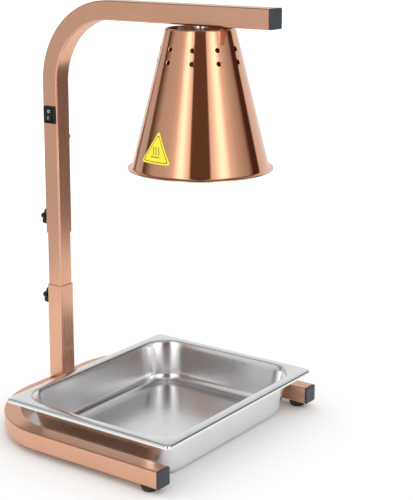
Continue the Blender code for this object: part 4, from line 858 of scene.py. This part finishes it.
def make_rocker():
    """Off at rest: the half with the ring lies flat in the bezel and the half with the bar stands out."""
    end = ROCKER_CREST + ROCKER_HALF * math.tan(ROCKER_TILT)
    half = [
        (0, ROCKER_CREST), (0.9 * MM, ROCKER_CREST + 0.09 * MM), (ROCKER_HALF - 0.8 * MM, end - 0.13 * MM),
        (ROCKER_HALF - 0.3 * MM, end - 0.25 * MM), (ROCKER_HALF, end - 0.8 * MM), (ROCKER_HALF, 0.6 * MM),
        *mm((5.6, -2.6), (2.0, -3.8)),
    ]
    outline = half + [(-along, out) for along, out in half[:0:-1]]
    half_x = ROCKER_X / 2
    edge = [(half_x, 0.5 * MM), (half_x - 0.15 * MM, 0.15 * MM), (half_x - 0.5 * MM, 0)]
    rings = []
    for x, smaller in [(-x, smaller) for x, smaller in edge] + [(0, 0)] + edge[::-1]:
        scale = 1 - smaller / ROCKER_HALF
        rings.append([(x, -out * scale, along * scale) for along, out in outline])
    pose = Matrix.Translation((0, ROCKER_PIVOT_Y, SWITCH_Z)) @ Matrix.Rotation(-ROCKER_TILT, 4, "X")
    shape = skin(rings)
    shape.transform(pose)
    rocker = piece("rocker_moulded", shape, "rocker_plastic", "rocker", "switch_rocker", sharp=25)
    cut(rocker, [pin_rod(half_x + 1.2 * MM, ROCKER_PIN_R)], "UNION")

    def mark(name, outer, inner, z):
        """A printed mark on the rocker's face: the outline `outer` round the outline `inner`."""
        lean = ROCKER_TILT if z > 0 else -ROCKER_TILT
        face = Matrix.Translation((0, -ROCKER_CREST - abs(z) * math.tan(ROCKER_TILT), z))
        face = face @ Matrix.Rotation(lean, 4, "X") @ Matrix.Rotation(math.pi / 2, 4, "X")
        low, high = -0.02 * MM, 0.06 * MM
        around = ((low, outer), (high, outer), (high, inner), (low, inner))
        printed = skin([[(x, y, level) for x, y, _ in line] for level, line in around], loop=True)
        printed.transform(pose @ face)
        piece(name, printed, "white_print", "rocker")

    def oblong(reach_x, reach_y):
        return [(reach_x * x, reach_y * y, 0) for x, y in ((1, 1), (-1, 1), (-1, -1), (1, -1))]

    mark("rocker_ring", circle(2.0 * MM, 0), circle(1.35 * MM, 0), MARK_Z)
    mark("rocker_bar", oblong(0.38 * MM, 1.9 * MM), oblong(0.02 * MM, 1.6 * MM), -MARK_Z)


def make_gland():
    """Snap-in cord gland with a ribbed collar. Its bore stays free for the cord."""
    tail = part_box("cord_gland")[0].y - WALL_Y
    barb_r, barb_y = GLAND_R + 0.7 * MM, -TUBE_WALL - GAP
    profile = [(3.6 * MM, tail), (barb_r, barb_y - 0.3 * MM), (barb_r, barb_y), (GLAND_R, barb_y)]
    profile += [(GLAND_R, GAP), (6.2 * MM, GAP), *mm((6.2, 2.2), (5.4, 2.8))]
    for i in range(4):
        r, y = 5.3 - 0.11 * i, 3.4 + 1.45 * i
        profile += mm((r, y), (r - 0.45, y + 0.25), (r - 0.45, y + 0.75), (r - 0.05, y + 1.0))
    profile += [*mm((4.8, 9.3), (4.4, 9.8)), (GLAND_BORE_R, 9.8 * MM), (GLAND_BORE_R, tail)]
    gland = turned(profile, (0, WALL_Y, GLAND_Z), (0, 1, 0), loop=True, edge=0.15 * MM, steps=2)
    piece("gland_moulded", gland, "black_plastic", "upper", "cord_gland")


def make_earth_screw():
    head, end = 2.3 * MM, -8.0 * MM
    profile = [*mm((0, 2.1)), (1.6 * MM, head), *mm((2.9, 1.9), (3.6, 1.1)), (3.6 * MM, GAP)]
    profile += [(EARTH_SCREW_R, z) for z in (GAP, end + 0.5 * MM)]
    profile += [(EARTH_SCREW_R - 0.5 * MM, end), (0, end)]
    shape = turned(profile, (0, WALL_Y, EARTH_Z), (0, 1, 0))
    screw = piece("earth_screw", shape, "zinc_steel", "upper", "earth_stud")
    cut(screw, [placed(cross_recess(1.2 * MM, 2.0 * MM), (0, WALL_Y + head, EARTH_Z), (0, -1, 0))])


# ---- shade

def shade_radius(z):
    return SHADE_FOOT_R + (SHADE_TOP_R - SHADE_FOOT_R) * (z - SHADE_FOOT_Z) / (SHADE_TOP_Z - SHADE_FOOT_Z)


def wall_point(angle, z, depth):
    """A point of the cone, `depth` into its wall."""
    radius = shade_radius(z) - depth / math.cos(SHADE_SLANT)
    return Vector((radius * math.cos(angle), radius * math.sin(angle), z))


def pierced_band(high, low):
    """The stretch of the cone between two heights, both skins, with its vent holes."""
    shape = bmesh.new()
    layer = shape.loops.layers.uv.new(GRAIN)
    grain = {}
    per_column = FINEST // VENT_COLUMNS
    across, rows = 8, 4                     # the cells that a hole takes, of per_column and of each row
    split = (VENT_ROWS_Z[0] + VENT_ROWS_Z[1]) / 2
    wide = VENT_R + VENT_BEVEL
    # each is (share of the way from the hole to its cells' border, hole's radius, depth in the wall)
    around_hole = (
        (1, wide, 0), (0.45, wide, 0), (0, wide, 0), (0, VENT_R, VENT_BEVEL * 0.8),
        (0, VENT_R, SHADE_WALL), (0.45, wide, SHADE_WALL), (1, wide, SHADE_WALL),
    )

    def vertex(angle, z, depth):
        vert = shape.verts.new(wall_point(angle, z, depth))
        grain[vert] = ((angle - VENT_START) * SPIN_R, z)
        return vert

    def hole_ring(border, centre, hole_z, share, radius, depth):
        ring = []
        for angle, z in border:
            out_u = (angle - centre) * shade_radius(hole_z)
            out_v = (z - hole_z) / math.cos(SHADE_SLANT)
            bearing = math.atan2(out_v, out_u)
            u, v = radius * math.cos(bearing), radius * math.sin(bearing)
            turn = (u + (out_u - u) * share) / shade_radius(hole_z)
            rise = (v + (out_v - v) * share) * math.cos(SHADE_SLANT)
            ring.append(vertex(centre + turn, hole_z + rise, depth))
        return ring

    for top, bottom, hole_z in ((high, split, VENT_ROWS_Z[0]), (split, low, VENT_ROWS_Z[1])):
        levels = [top + (bottom - top) * i / rows for i in range(rows + 1)]
        for column in range(VENT_COLUMNS):
            centre = VENT_START + TAU * column / VENT_COLUMNS
            angles = [centre + (i - across / 2) * TAU / FINEST for i in range(per_column + 1)]
            for depth in (0.0, SHADE_WALL):
                for left, right in zip(angles[across:], angles[across + 1:]):
                    for upper, lower in zip(levels, levels[1:]):
                        corners = ((left, upper), (right, upper), (right, lower), (left, lower))
                        shape.faces.new([vertex(*corner, depth) for corner in corners])
            border = [(angles[i], top) for i in range(across)]
            border += [(angles[across], z) for z in levels[:-1]]
            border += [(angles[across - i], bottom) for i in range(across)]
            border += [(angles[0], z) for z in levels[:0:-1]]
            rings = [hole_ring(border, centre, hole_z, *place) for place in around_hole]
            for first, second in zip(rings, rings[1:]):
                for i in range(len(border)):
                    j = (i + 1) % len(border)
                    shape.faces.new([first[i], first[j], second[j], second[i]])
    for face in shape.faces:
        for corner in face.loops:
            corner[layer].uv = grain[corner.vert]
    return shape


def both_skins(outer, open_end):
    """Outer and inner profile in one line that starts and ends where the vents' band joins on."""
    inner = offset(outer, SHADE_WALL)
    z = outer[open_end][1]
    inner[open_end] = (shade_radius(z) - SHADE_WALL / math.cos(SHADE_SLANT), z)
    return outer + inner[::-1] if open_end == 0 else inner[::-1] + outer


def make_shade():
    """Rolled rim, flared foot, cone with vents, folded top edge and sunk top disc."""
    bead, recess = 0.9 * MM, SHADE_TOP_R - 3.2 * MM
    lip_z = SHADE_RIM_Z + bead + SHADE_WALL / 2
    high, low = VENT_ROWS_Z[0] + 8 * MM, VENT_ROWS_Z[1] - 8 * MM
    fold = SHADE_TOP_Z - 1.6 * MM
    upper = [
        (STEM_HOLE_R, DISC_TOP_Z), (14 * MM, DISC_TOP_Z), (recess - 4 * MM, DISC_TOP_Z),
        *arc((recess - 1.6 * MM, DISC_TOP_Z + 1.6 * MM), 1.6 * MM, -90, 0, 6),
        *arc((SHADE_TOP_R - 1.9 * MM, fold), 1.55 * MM, 178, 14, 12),
        *((shade_radius(z), z) for z in (fold, fold - 0.4 * MM, (fold + high) / 2, high)),
    ]
    turn = SHADE_FOOT_Z + 3.6 * MM
    below = [low + (turn + 0.4 * MM - low) * i / 8 for i in range(9)]
    lower = [
        *((shade_radius(z), z) for z in (*below, turn)),
        *arc((SHADE_FOOT_R + 2.9 * MM, SHADE_RIM_Z + 4.4 * MM), 3.0 * MM, 194, 262, 8),
        (SHADE_RIM_R - 2.6 * MM, lip_z),
        *arc((SHADE_RIM_R - bead, SHADE_RIM_Z + bead), bead, 75, -60, 8),
    ]
    shapes = []
    for profile in (both_skins(upper, -1), both_skins(lower, 0)):
        def grain(i, j, profile=profile):
            return TAU * j / FINEST * SPIN_R, profile[i][1] + profile[i][0] * 0.2

        rings = [circle(r, z, FINEST, VENT_START) for r, z in profile]
        shapes.append(skin(rings, grain=grain, filled=False))
    whole = merged(shapes + [pierced_band(high, low)])
    bmesh.ops.remove_doubles(whole, verts=whole.verts, dist=0.004 * MM)
    shade = piece("shade_spun", placed(whole, SHADE_FOOT), "polished_copper", "upper", "shade", sharp=40)
    cut(shade, [
        upright_rod(x, 0, DISC_TOP_Z - DRILL, DISC_TOP_Z + DRILL, STRAP_HOLE_R)
        for x in (SHADE_X - STRAP_SCREW_X, SHADE_X + STRAP_SCREW_X)
    ])
    # Faces inside the shade and on its sunk top disc take a darker copper: painted shade.
    shade.data.materials.append(MATERIALS["painted_shade_copper"])
    axis = Vector((POST_X + SHADE_X, 0, 0))
    for face in shade.data.polygons:
        outward = (face.center - axis) * Vector((1, 1, 0))
        on_disc = outward.length < recess - MM and face.center.z > DISC_TOP_Z - 2 * MM
        if on_disc or face.normal.dot(outward.normalized()) < -0.5:
            face.material_index = 1


def make_shade_fixing():
    """Stem, spacer, strap, screws and nuts, down from the arm."""
    underside = ARM_Z - WALL_Y
    strap_top = DISC_TOP_Z - SHADE_WALL - GAP
    strap_low = strap_top - STRAP_T
    corner, edge = 4 * MM, 0.3 * MM
    levels = inset(
        STRAP_HALF_LENGTH, STRAP_HALF_WIDTH,
        (edge, corner - edge, strap_low), (0, corner, strap_low + edge),
        (0, corner, strap_top - edge), (edge, corner - edge, strap_top),
    )
    shape = placed(stacked(levels, margin=0.5 * MM), SHADE_FOOT)
    strap = piece("strap_pressed", shape, "zinc_steel", "upper", "shade_strap")
    drills = [upright_rod(SHADE_X, 0, strap_low - MM, strap_top + MM, STEM_HOLE_R)]
    for name, side in (("rear", -1), ("front", 1)):
        x = SHADE_X + side * STRAP_SCREW_X
        drills.append(upright_rod(x, 0, strap_low - MM, strap_top + MM, STRAP_HOLE_R))
        node = f"strap_screw_{name}"
        head_top, end = strap_low - GAP, highest(node)
        head_low, root_r = head_top - 2.4 * MM, STRAP_SCREW_R - 0.3 * MM
        head = mm((0, 0.1), (1.6, 0), (2.9, 0.5), (3.6, 1.4), above=head_low)
        rings = [circle(r, z) for r, z in (*head, (3.7 * MM, head_top), (root_r, head_top))]
        rings += threaded(STRAP_SCREW_R, root_r, head_top + 0.2 * MM, end - 0.5 * MM, 0.7 * MM)
        rings += [circle(root_r - 0.3 * MM, end), circle(0, end)]
        shape = placed(skin(rings), (x, 0, 0))
        screw = piece(node + "_threaded", shape, "zinc_steel", "upper", node, sharp=60)
        cut(screw, [placed(cross_recess(1.2 * MM, 2.0 * MM), (x, 0, head_low))])
        nut = hexagon_nut(8.0 * MM, 3.2 * MM, STRAP_HOLE_R, (x, 0, DISC_TOP_Z + GAP))
        piece(f"strap_nut_{name}_faced", nut, "zinc_steel", "upper", f"strap_nut_{name}", sharp=25)
    cut(strap, drills)

    spacer = bush(STEM_HOLE_R, 9.0 * MM, DISC_TOP_Z + GAP, underside - GAP)
    spacer = turned(spacer, SHADE_FOOT, loop=True, edge=0.2 * MM)
    piece("spacer_turned", spacer, "zinc_steel", "upper", "stem_spacer")
    low, high, end_r = lowest("threaded_stem"), highest("threaded_stem"), STEM_R - 0.5 * MM
    rings = [circle(STEM_BORE_R, low), circle(end_r, low)]
    rings += threaded(STEM_R, STEM_R - 0.4 * MM, low + 0.3 * MM, high - 0.3 * MM, 1.0 * MM)
    rings += [circle(end_r, high), circle(STEM_BORE_R, high)]
    stem = placed(skin(rings, loop=True), SHADE_FOOT)
    piece("stem_threaded", stem, "zinc_steel", "upper", "threaded_stem", sharp=60)
    for name, start, height in (
        ("stem_nut_upper", underside + TUBE_WALL + GAP, 4.0 * MM),
        ("stem_nut_lower", HOLDER_TOP_Z + GAP, strap_low - HOLDER_TOP_Z - 2 * GAP),
    ):
        nut = hexagon_nut(15.0 * MM, height, STEM_R + GAP, (SHADE_X, 0, start))
        piece(name + "_faced", nut, "zinc_steel", "upper", name, sharp=25)


# ---- label

def on_cone(x, y, lift):
    """A point of the label's drawing, wrapped on the cone and lifted off it."""
    z = LABEL_Z + y * math.cos(SHADE_SLANT)
    radius = shade_radius(z) + lift
    angle = LABEL_AZIMUTH + x / shade_radius(LABEL_Z)
    return Vector((SHADE_X + radius * math.cos(angle), radius * math.sin(angle), z))


def rounded_triangle(reach, corner, steps=6):
    """Outline of a triangle on its base, `reach` from its middle to each corner's centre."""
    points = []
    for toward in (math.radians(90 + 120 * i) for i in range(3)):
        for j in range(-steps, steps + 1):
            turn = toward + math.radians(60 * j / steps)
            points.append((reach * math.cos(toward) + corner * math.cos(turn),
                           reach * math.sin(toward) + corner * math.sin(turn)))
    return points


def printed(first, second, closed):
    """The strip between two lines of the label's drawing, lifted just off its film."""
    lift = GAP + LABEL_THICKNESS + 0.03 * MM
    shape = bmesh.new()
    left, right = ([shape.verts.new(on_cone(x, y, lift)) for x, y in line] for line in (first, second))
    for i in range(len(left) if closed else len(left) - 1):
        j = (i + 1) % len(left)
        shape.faces.new([left[i], left[j], right[j], right[i]])
    return shape


def stroke(points, width=1.0 * MM):
    """A printed strip along an open line."""
    points = [Vector(point) for point in points]
    sides = [Vector((-along.y, along.x)) * width / 2 for along in headings(points)]
    left, right = ([point + side * way for point, side in zip(points, sides)] for way in (1, -1))
    return printed(left, right, closed=False)


def make_label():
    """A plain yellow triangle with a border and three rising waves, stuck to the cone."""
    reach = LABEL_SIDE / math.sqrt(3) - 2 * LABEL_CORNER
    corners = rounded_triangle(reach, LABEL_CORNER)
    outline = divided(corners + corners[:1], 1.5 * MM, int)
    top = GAP + LABEL_THICKNESS
    # each is (scale of the outline, lift off the cone), from the middle of the back to that of the front
    levels = [(0.3, GAP), (0.6, GAP), (1.0, GAP), (1.0, top - 0.08 * MM), (1 - 0.2 * MM / reach, top),
              (0.9, top), (0.6, top), (0.3, top)]
    rings = [[on_cone(x * scale, y * scale, lift) for x, y in outline] for scale, lift in levels]
    rings = [[on_cone(0, 0, GAP)], *rings, [on_cone(0, 0, top)]]
    piece("label_film_piece", skin(rings), "label_film", "upper", "heat_label")

    border = [[(x * s, y * s) for x, y in outline] for s in (0.845, 0.795)]
    marks = [printed(*border, closed=True)]
    for shift in (-4.4, 0.0, 4.4):
        wave = [(shift + 1.1 * math.sin(TAU * i / 24), -3.2 + 10.5 * i / 24) for i in range(25)]
        marks.append(stroke(mm(*wave)))
    marks.append(stroke(mm(*((x, -5.4) for x in range(-7, 8)))))
    printing = piece("label_marks", merged(marks), "label_print", "upper")
    solid = printing.modifiers.new("thickness", "SOLIDIFY")
    solid.thickness = 0.02 * MM
    solid.offset = 1.0


# ---- lampholder

def make_lampholder():
    top, bottom, chamber = HOLDER_TOP_Z, HOLDER_BOTTOM_Z, HOLDER_TOP_Z - HOLDER_ROOF
    profile = [(STEM_HOLE_R, top), *mm((12.5, 0), (14.5, -1.2), (15.5, -6), above=top)]
    profile += [
        (HOLDER_R - 1.4 * MM, top - 9 * MM), (HOLDER_R, top - 12 * MM), (HOLDER_R, bottom + 1.5 * MM),
        (HOLDER_R - 1.2 * MM, bottom), (HOLDER_BORE_R + 0.6 * MM, bottom),
        (HOLDER_BORE_R, bottom + 0.8 * MM), (HOLDER_BORE_R, INSERT_TOP_Z + GAP),
        (CHAMBER_R, INSERT_TOP_Z + GAP), (CHAMBER_R, chamber), (STEM_HOLE_R, chamber),
    ]
    body = turned(profile, SHADE_FOOT, loop=True, edge=1.0 * MM, steps=4)
    piece("lampholder_glazed", body, "porcelain", "upper", "lampholder_body")

    fit_r, flange_r = HOLDER_BORE_R - GAP, 8.4 * MM
    flange_top = INSERT_TOP_Z - INSERT_T - GAP
    flange_low, shell_low = flange_top - SHELL_T, bottom + 2.5 * MM
    inside_r, turns, steps = fit_r - SHELL_T, 6, 6
    profile = [(flange_r, flange_top), (fit_r, flange_top), (fit_r, shell_low)]
    for i in range(turns * steps + 1):
        z = shell_low + (flange_low - 1.5 * MM - shell_low) * i / (turns * steps)
        profile.append((inside_r - 0.25 * MM * (0.5 - 0.5 * math.cos(TAU * i / steps)), z))
    profile += [(inside_r, flange_low), (flange_r, flange_low)]
    shape = turned(profile, SHADE_FOOT, loop=True)
    shell = piece("screw_shell", shape, "brass", "upper", "lampholder_shell")
    x = middle("shell_rivet").x - POST_X
    cut(shell, [upright_rod(x, 0, flange_low - MM, flange_top + MM, 1.7 * MM)])


# ---- bulb. Its profiles are (radius, depth) points, and depths run down from the tip.

def bulb_outline():
    """The glass, from its open neck inside the cap to the middle of its front."""
    rise = mm(
        (12.2, 27.5), (14.8, 30.6), (17.8, 35.5), (18.8, 41.5), (18.9, 57), (20.6, 61.5), (24.6, 66.5),
        (26.0, 71),
    )
    body = mm(
        (29.0, 74.6), (40.5, 87), (51.5, 103), (59.8, 118.5), (62.6, 129), (60.4, 137), (53.5, 143.6),
        (37.0, 154.2), (18.0, 161.2),
    )
    neck = [(CAP_R - 0.9 * MM, depth * MM) for depth in (17, 22)]
    return neck + [tuple(point) for point in smooth(rise, 5) + smooth([*body, (0, BULB_LENGTH)], 5)]


def dimpled_ring(i, r, depth):
    """One ring of the bulb's pressed front, sunk where its rows of dimples are."""
    if r < 1e-7:
        return circle(r, BULB_TIP_Z - depth)
    row = math.sin(math.pi * i / DIMPLE_SIDES)
    fade = min(1.0, i / DIMPLE_SIDES, r / (12 * MM))
    ring = []
    for j in range(BULB_SIDES):
        angle = TAU * j / BULB_SIDES
        column = math.cos(math.pi * j / DIMPLE_SIDES)
        sunk = DIMPLE_DEPTH * fade * (row * column) ** 2
        sunk_r = r - sunk * 0.4
        ring.append((sunk_r * math.cos(angle), sunk_r * math.sin(angle), BULB_TIP_Z - depth + sunk))
    return ring


def bulb_part(name, profile, finish, node, loop=False, sharp=35):
    """A turned piece of the bulb."""
    shape = turned([(r, BULB_TIP_Z - depth) for r, depth in profile], SHADE_FOOT, loop=loop)
    return piece(name, shape, finish, "bulb", node, sharp=sharp)


def make_bulb():
    outline = bulb_outline()
    inner = [(max(r, 0), depth) for r, depth in offset(outline, -GLASS_T)]
    inner[-1] = (0, BULB_LENGTH - GLASS_T)
    brow = next(i for i, (_, depth) in enumerate(outline) if depth > DIMPLE_START)
    lens = divided(outline[brow:], DIMPLE_PITCH / 4) + outline[-1:]
    rings = [circle(r, BULB_TIP_Z - depth, BULB_SIDES) for r, depth in outline[:brow]]
    rings += [dimpled_ring(i, *point) for i, point in enumerate(lens)]
    rings += [circle(r, BULB_TIP_Z - depth, BULB_SIDES) for r, depth in inner[::-1]]
    glass = placed(skin(rings, loop=True), SHADE_FOOT)
    bulb = piece("bulb_envelope", glass, "clear_glass", "bulb", "bulb_glass", sharp=60)
    bulb.data.materials.append(MATERIALS["bulb_mirror"])
    bulb.data.materials.append(MATERIALS["bulb_front"])
    for face in bulb.data.polygons:
        depth = BULB_TIP_Z - face.center.z
        face.material_index = (depth >= MIRROR_START) + (depth >= MIRROR_END)

    start, end, pitch, steps = 9.5 * MM, 24.5 * MM, 3.4 * MM, 30
    depths = [start + (end - start) * i / steps for i in range(steps + 1)]
    thread = [(CAP_R - 0.55 * MM * (0.5 + 0.5 * math.cos(TAU * depth / pitch)), depth) for depth in depths]
    cap = [*mm((8.8, 3.6)), (CAP_R - 0.6 * MM, 8.6 * MM), *thread, (CAP_R - 0.1 * MM, 25.4 * MM)]
    cap += [(CAP_R, 27.2 * MM), (CAP_R - CAP_T, 27.2 * MM)]
    cap += [(r - CAP_T, depth + 0.2 * MM) for r, depth in cap[-4:0:-1]] + [(8.8 * MM - CAP_T, 3.9 * MM)]
    bulb_part("bulb_cap_rolled", cap, "aluminium", "bulb_cap", loop=True, sharp=50)
    insulator = mm((4.6, 1.3), (8.1, 3.7), (8.1, 6.2), (1.5, 6.2), (1.5, 2.2), (4.6, 2.2))
    insulator = softened(insulator, 0.2 * MM, 2, loop=True)
    bulb_part("bulb_insulator_moulded", insulator, "black_plastic", "bulb_insulator", loop=True)
    tip = mm((0, 0), (1.5, 0.05), (2.8, 0.35), (3.8, 0.8), (4.2, 1.3), (4.2, 1.9))
    tip += mm((1.2, 1.9), (1.2, 7.0), (0, 7.0))
    bulb_part("bulb_tip_soldered", tip, "zinc_steel", "bulb_tip_contact")

    pinch = smooth(mm((7.6, 23), (4.6, 28), (3.6, 36), (3.4, 46)), 6)
    stem = mm((0, 16), (9.6, 16), (9.6, 19)) + pinch + mm((3.0, 48.0), (0, 48.4))
    bulb_part("bulb_stem_drawn", stem, "clear_glass", "bulb_stem", sharp=50)
    depth, rim = HEAT_SHIELD_DEPTH, HEAT_SHIELD_R
    lip = [(rim - 2 * MM, depth - 0.2 * MM), (rim - 0.9 * MM, depth - MM), (rim, depth - 2.4 * MM)]
    dish = [
        (0, depth), (rim - 3 * MM, depth), *smooth(lip, 4), (rim + 0.4 * MM, depth - 2.2 * MM),
        (rim - 0.5 * MM, depth - 0.6 * MM), (rim - 1.6 * MM, depth + 0.5 * MM),
        (rim - 3 * MM, depth + 0.5 * MM), (0, depth + 0.5 * MM),
    ]
    shield = bulb_part("heat_shield_pressed", dish, "aluminium", "bulb_heat_shield")
    z = BULB_TIP_Z - depth
    cut(shield, [upright_rod(SHADE_X, y, z - DRILL, z + DRILL, WIRE_R + GAP) for y in (-WIRE_Y, WIRE_Y)])

    support = mm((10.3, 21), (9, 27)) + [(WIRE_Y, depth * MM) for depth in (34, 60, 84)]
    support.append((FILAMENT_HALF, FILAMENT_DEPTH - 1.3 * MM))
    for name, side in (("bulb_support_left", -1), ("bulb_support_right", 1)):
        route = [(SHADE_X, side * y, BULB_TIP_Z - depth) for y, depth in support]
        piece(name + "_drawn", strand(smooth(route, 4), WIRE_R), "zinc_steel", "bulb", name, sharp=60)
    turns, per_turn, coil_r, wire_r = 34, 10, 0.7 * MM, 0.17 * MM
    coil = []
    for i in range(turns * per_turn + 1):
        sweep, wind = math.pi * i / (turns * per_turn), TAU * i / per_turn
        x, y = SHADE_X + FILAMENT_BOW * math.sin(sweep), FILAMENT_HALF * math.cos(sweep)
        out = Vector((math.sin(sweep), math.cos(sweep), 0))
        around = out * math.cos(wind) + Vector((0, 0, math.sin(wind)))
        coil.append(Vector((x, y, BULB_TIP_Z - FILAMENT_DEPTH)) + around * coil_r)
    piece("filament_coil", strand(coil, wire_r, 6), "tungsten", "bulb", "filament", sharp=60)


# ---- pan

def make_pan():
    """Deep-drawn half-size pan: turned-down flange, wide corner radii inside and tapered walls."""
    # each is (inset, height above the rim or, in the well, the table, corner radius) in millimetres
    rim = [(0, -5.4, 6), (0, -2.8, 6), (0.9, -0.8, 6), (2.9, 0, 6)]
    rim += [(11.0, 0, 34), (13.0, -0.7, 38), (14.0, -3.0, 40)]
    well = [(21.0, 17, 36), (22.6, 9.5, 34), (26.2, 4.0, 31), (31.5, 1.4, 26), (37.0, PAN_SHEET / MM, 22)]
    stations = [Vector((d, PAN_TOP / MM + z, corner)) for d, z, corner in rim]
    stations += [Vector(station) for station in well]
    fine = []
    for start, end, steps in ((0, 1, 1), (1, 3, 4), (3, 4, 1), (4, 6, 5), (6, 7, 6), (7, 11, 6)):
        fine += smooth(stations[start:end + 1], steps)[:-1]
    upper = [(p.x * MM, p.y * MM, p.z * MM) for p in (*fine, stations[-1])]
    lower = offset([(-d, z) for d, z, _ in upper], -PAN_SHEET)
    lower[0] = (-PAN_SHEET, upper[0][1])
    lower[-1] = (lower[-1][0], 0)
    levels = [(d, corner, z) for d, z, corner in upper[::-1]]
    for (negative_inset, z), (_, _, corner) in zip(lower, upper):
        levels.append((-negative_inset, max(corner - PAN_SHEET / 2, MM), max(z, 0)))
    pan = placed(stacked(inset(PAN_HALF_X, PAN_HALF_Y, *levels), 14, 2.0 * MM), (PAN_X, 0, 0))
    piece("pan_drawn", pan, "stainless", "pan", "food_pan", sharp=50)


# ---- stage, light and camera

def make_stage():
    """A pale round floor that is as bright as the room behind it, so that its edge isn't seen."""
    shape = bmesh.new()
    bmesh.ops.create_circle(shape, cap_ends=True, radius=FLOOR_R, segments=128)
    mesh = bpy.data.meshes.new("floor")
    shape.to_mesh(mesh)
    shape.free()
    floor = bpy.data.objects.new("floor", mesh)
    floor.location.z = -0.2 * MM
    surface = Surface("floor_paper", Roughness=0.9, Specular_IOR_Level=0.1)
    surface.colour(surface.noise((3, 3, 3)), (0.90, 0.90, 0.90), (0.92, 0.92, 0.92))
    mesh.materials.append(surface.material)
    bpy.context.scene.collection.objects.link(floor)
    floor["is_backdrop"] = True


def make_light():
    """An even white room, with soft boxes and dark flags round it that only glossy surfaces mirror."""
    world = bpy.data.worlds.new("studio")
    bpy.context.scene.world = world
    world.use_nodes = True
    tree = world.node_tree
    tree.nodes.clear()

    coordinates = add_node(tree, "ShaderNodeTexCoord").outputs["Generated"]
    split = add_node(tree, "ShaderNodeSeparateXYZ", {0: coordinates}).outputs
    bearing = add_node(tree, "ShaderNodeMath", {0: split["Y"], 1: split["X"]}, operation="ARCTAN2")
    whole_turn = {"Value": bearing.outputs[0], "From Min": -math.pi, "From Max": math.pi}
    share = add_node(tree, "ShaderNodeMapRange", whole_turn).outputs[0]
    ramp = add_node(tree, "ShaderNodeValToRGB", {0: share})
    stops = ramp.color_ramp.elements
    while len(stops) > 1:
        stops.remove(stops[-1])
    for i, (degrees, value) in enumerate(STUDIO):
        stop = stops[0] if i == 0 else stops.new((degrees + 180) / 360)
        stop.position = (degrees + 180) / 360
        warm = min(1.0, value / 0.24)           # the dark flags are warm
        stop.color = (value, value * (0.45 + 0.55 * warm), value * (0.27 + 0.73 * warm), 1.0)
    upwards = {
        "Value": split["Z"], "From Min": 0.4, "From Max": 0.85,
        "To Min": STUDIO_STRENGTH, "To Max": STUDIO_STRENGTH * CEILING_DIMMING,
    }
    fading = add_node(tree, "ShaderNodeMapRange", upwards).outputs[0]
    room, studio = (
        add_node(tree, "ShaderNodeBackground", {"Color": colour, "Strength": strength}).outputs[0]
        for colour, strength in (((1.0, 1.0, 1.0, 1.0), ROOM_STRENGTH), (ramp.outputs[0], fading))
    )
    glossy = add_node(tree, "ShaderNodeLightPath").outputs["Is Glossy Ray"]
    choice = add_node(tree, "ShaderNodeMixShader", {0: glossy, 1: room, 2: studio}).outputs[0]
    add_node(tree, "ShaderNodeOutputWorld", {"Surface": choice})
    bpy.context.scene.view_settings.view_transform = "Standard"


def make_camera():
    data = bpy.data.cameras.new("camera")
    data.lens = CAMERA_LENS
    data.shift_x, data.shift_y = CAMERA_SHIFT
    data.clip_start, data.clip_end = 0.05, 50
    camera = bpy.data.objects.new("camera", data)
    camera.location = CAMERA_PLACE
    level, down = math.cos(CAMERA_DIP), math.sin(CAMERA_DIP)
    forward = Vector((math.cos(CAMERA_HEADING) * level, math.sin(CAMERA_HEADING) * level, -down))
    camera.rotation_euler = forward.to_track_quat("-Z", "Y").to_euler()
    bpy.context.scene.collection.objects.link(camera)
    bpy.context.scene.camera = camera


# ---- assembly

def dress_cad_nodes():
    """CAD nodes that stay in view inside the lamp keep their mesh and take a finish."""
    finishes = {
        "post_plug": "zinc_steel", "switch_terminal_line": "brass", "switch_terminal_load": "brass",
        "lampholder_insert": "porcelain", "lampholder_contact": "brass", "shell_rivet": "brass",
        "lead_line": "lead_black", "lead_switched": "lead_black", "lead_neutral": "lead_white",
        "lead_earth": "lead_green",
    }
    for name, finish in finishes.items():
        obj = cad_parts[name]
        obj.data.materials.clear()
        obj.data.materials.append(MATERIALS[finish])


make_base()
make_post()
make_switch()
make_rocker()
make_gland()
make_earth_screw()
make_shade()
make_shade_fixing()
make_label()
make_lampholder()
make_bulb()
make_pan()
dress_cad_nodes()
make_stage()
make_light()
make_camera()

boxes = {"cad": cad_box, "visual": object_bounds()}
{name: [list(low), list(high)] for name, (low, high) in boxes.items()}
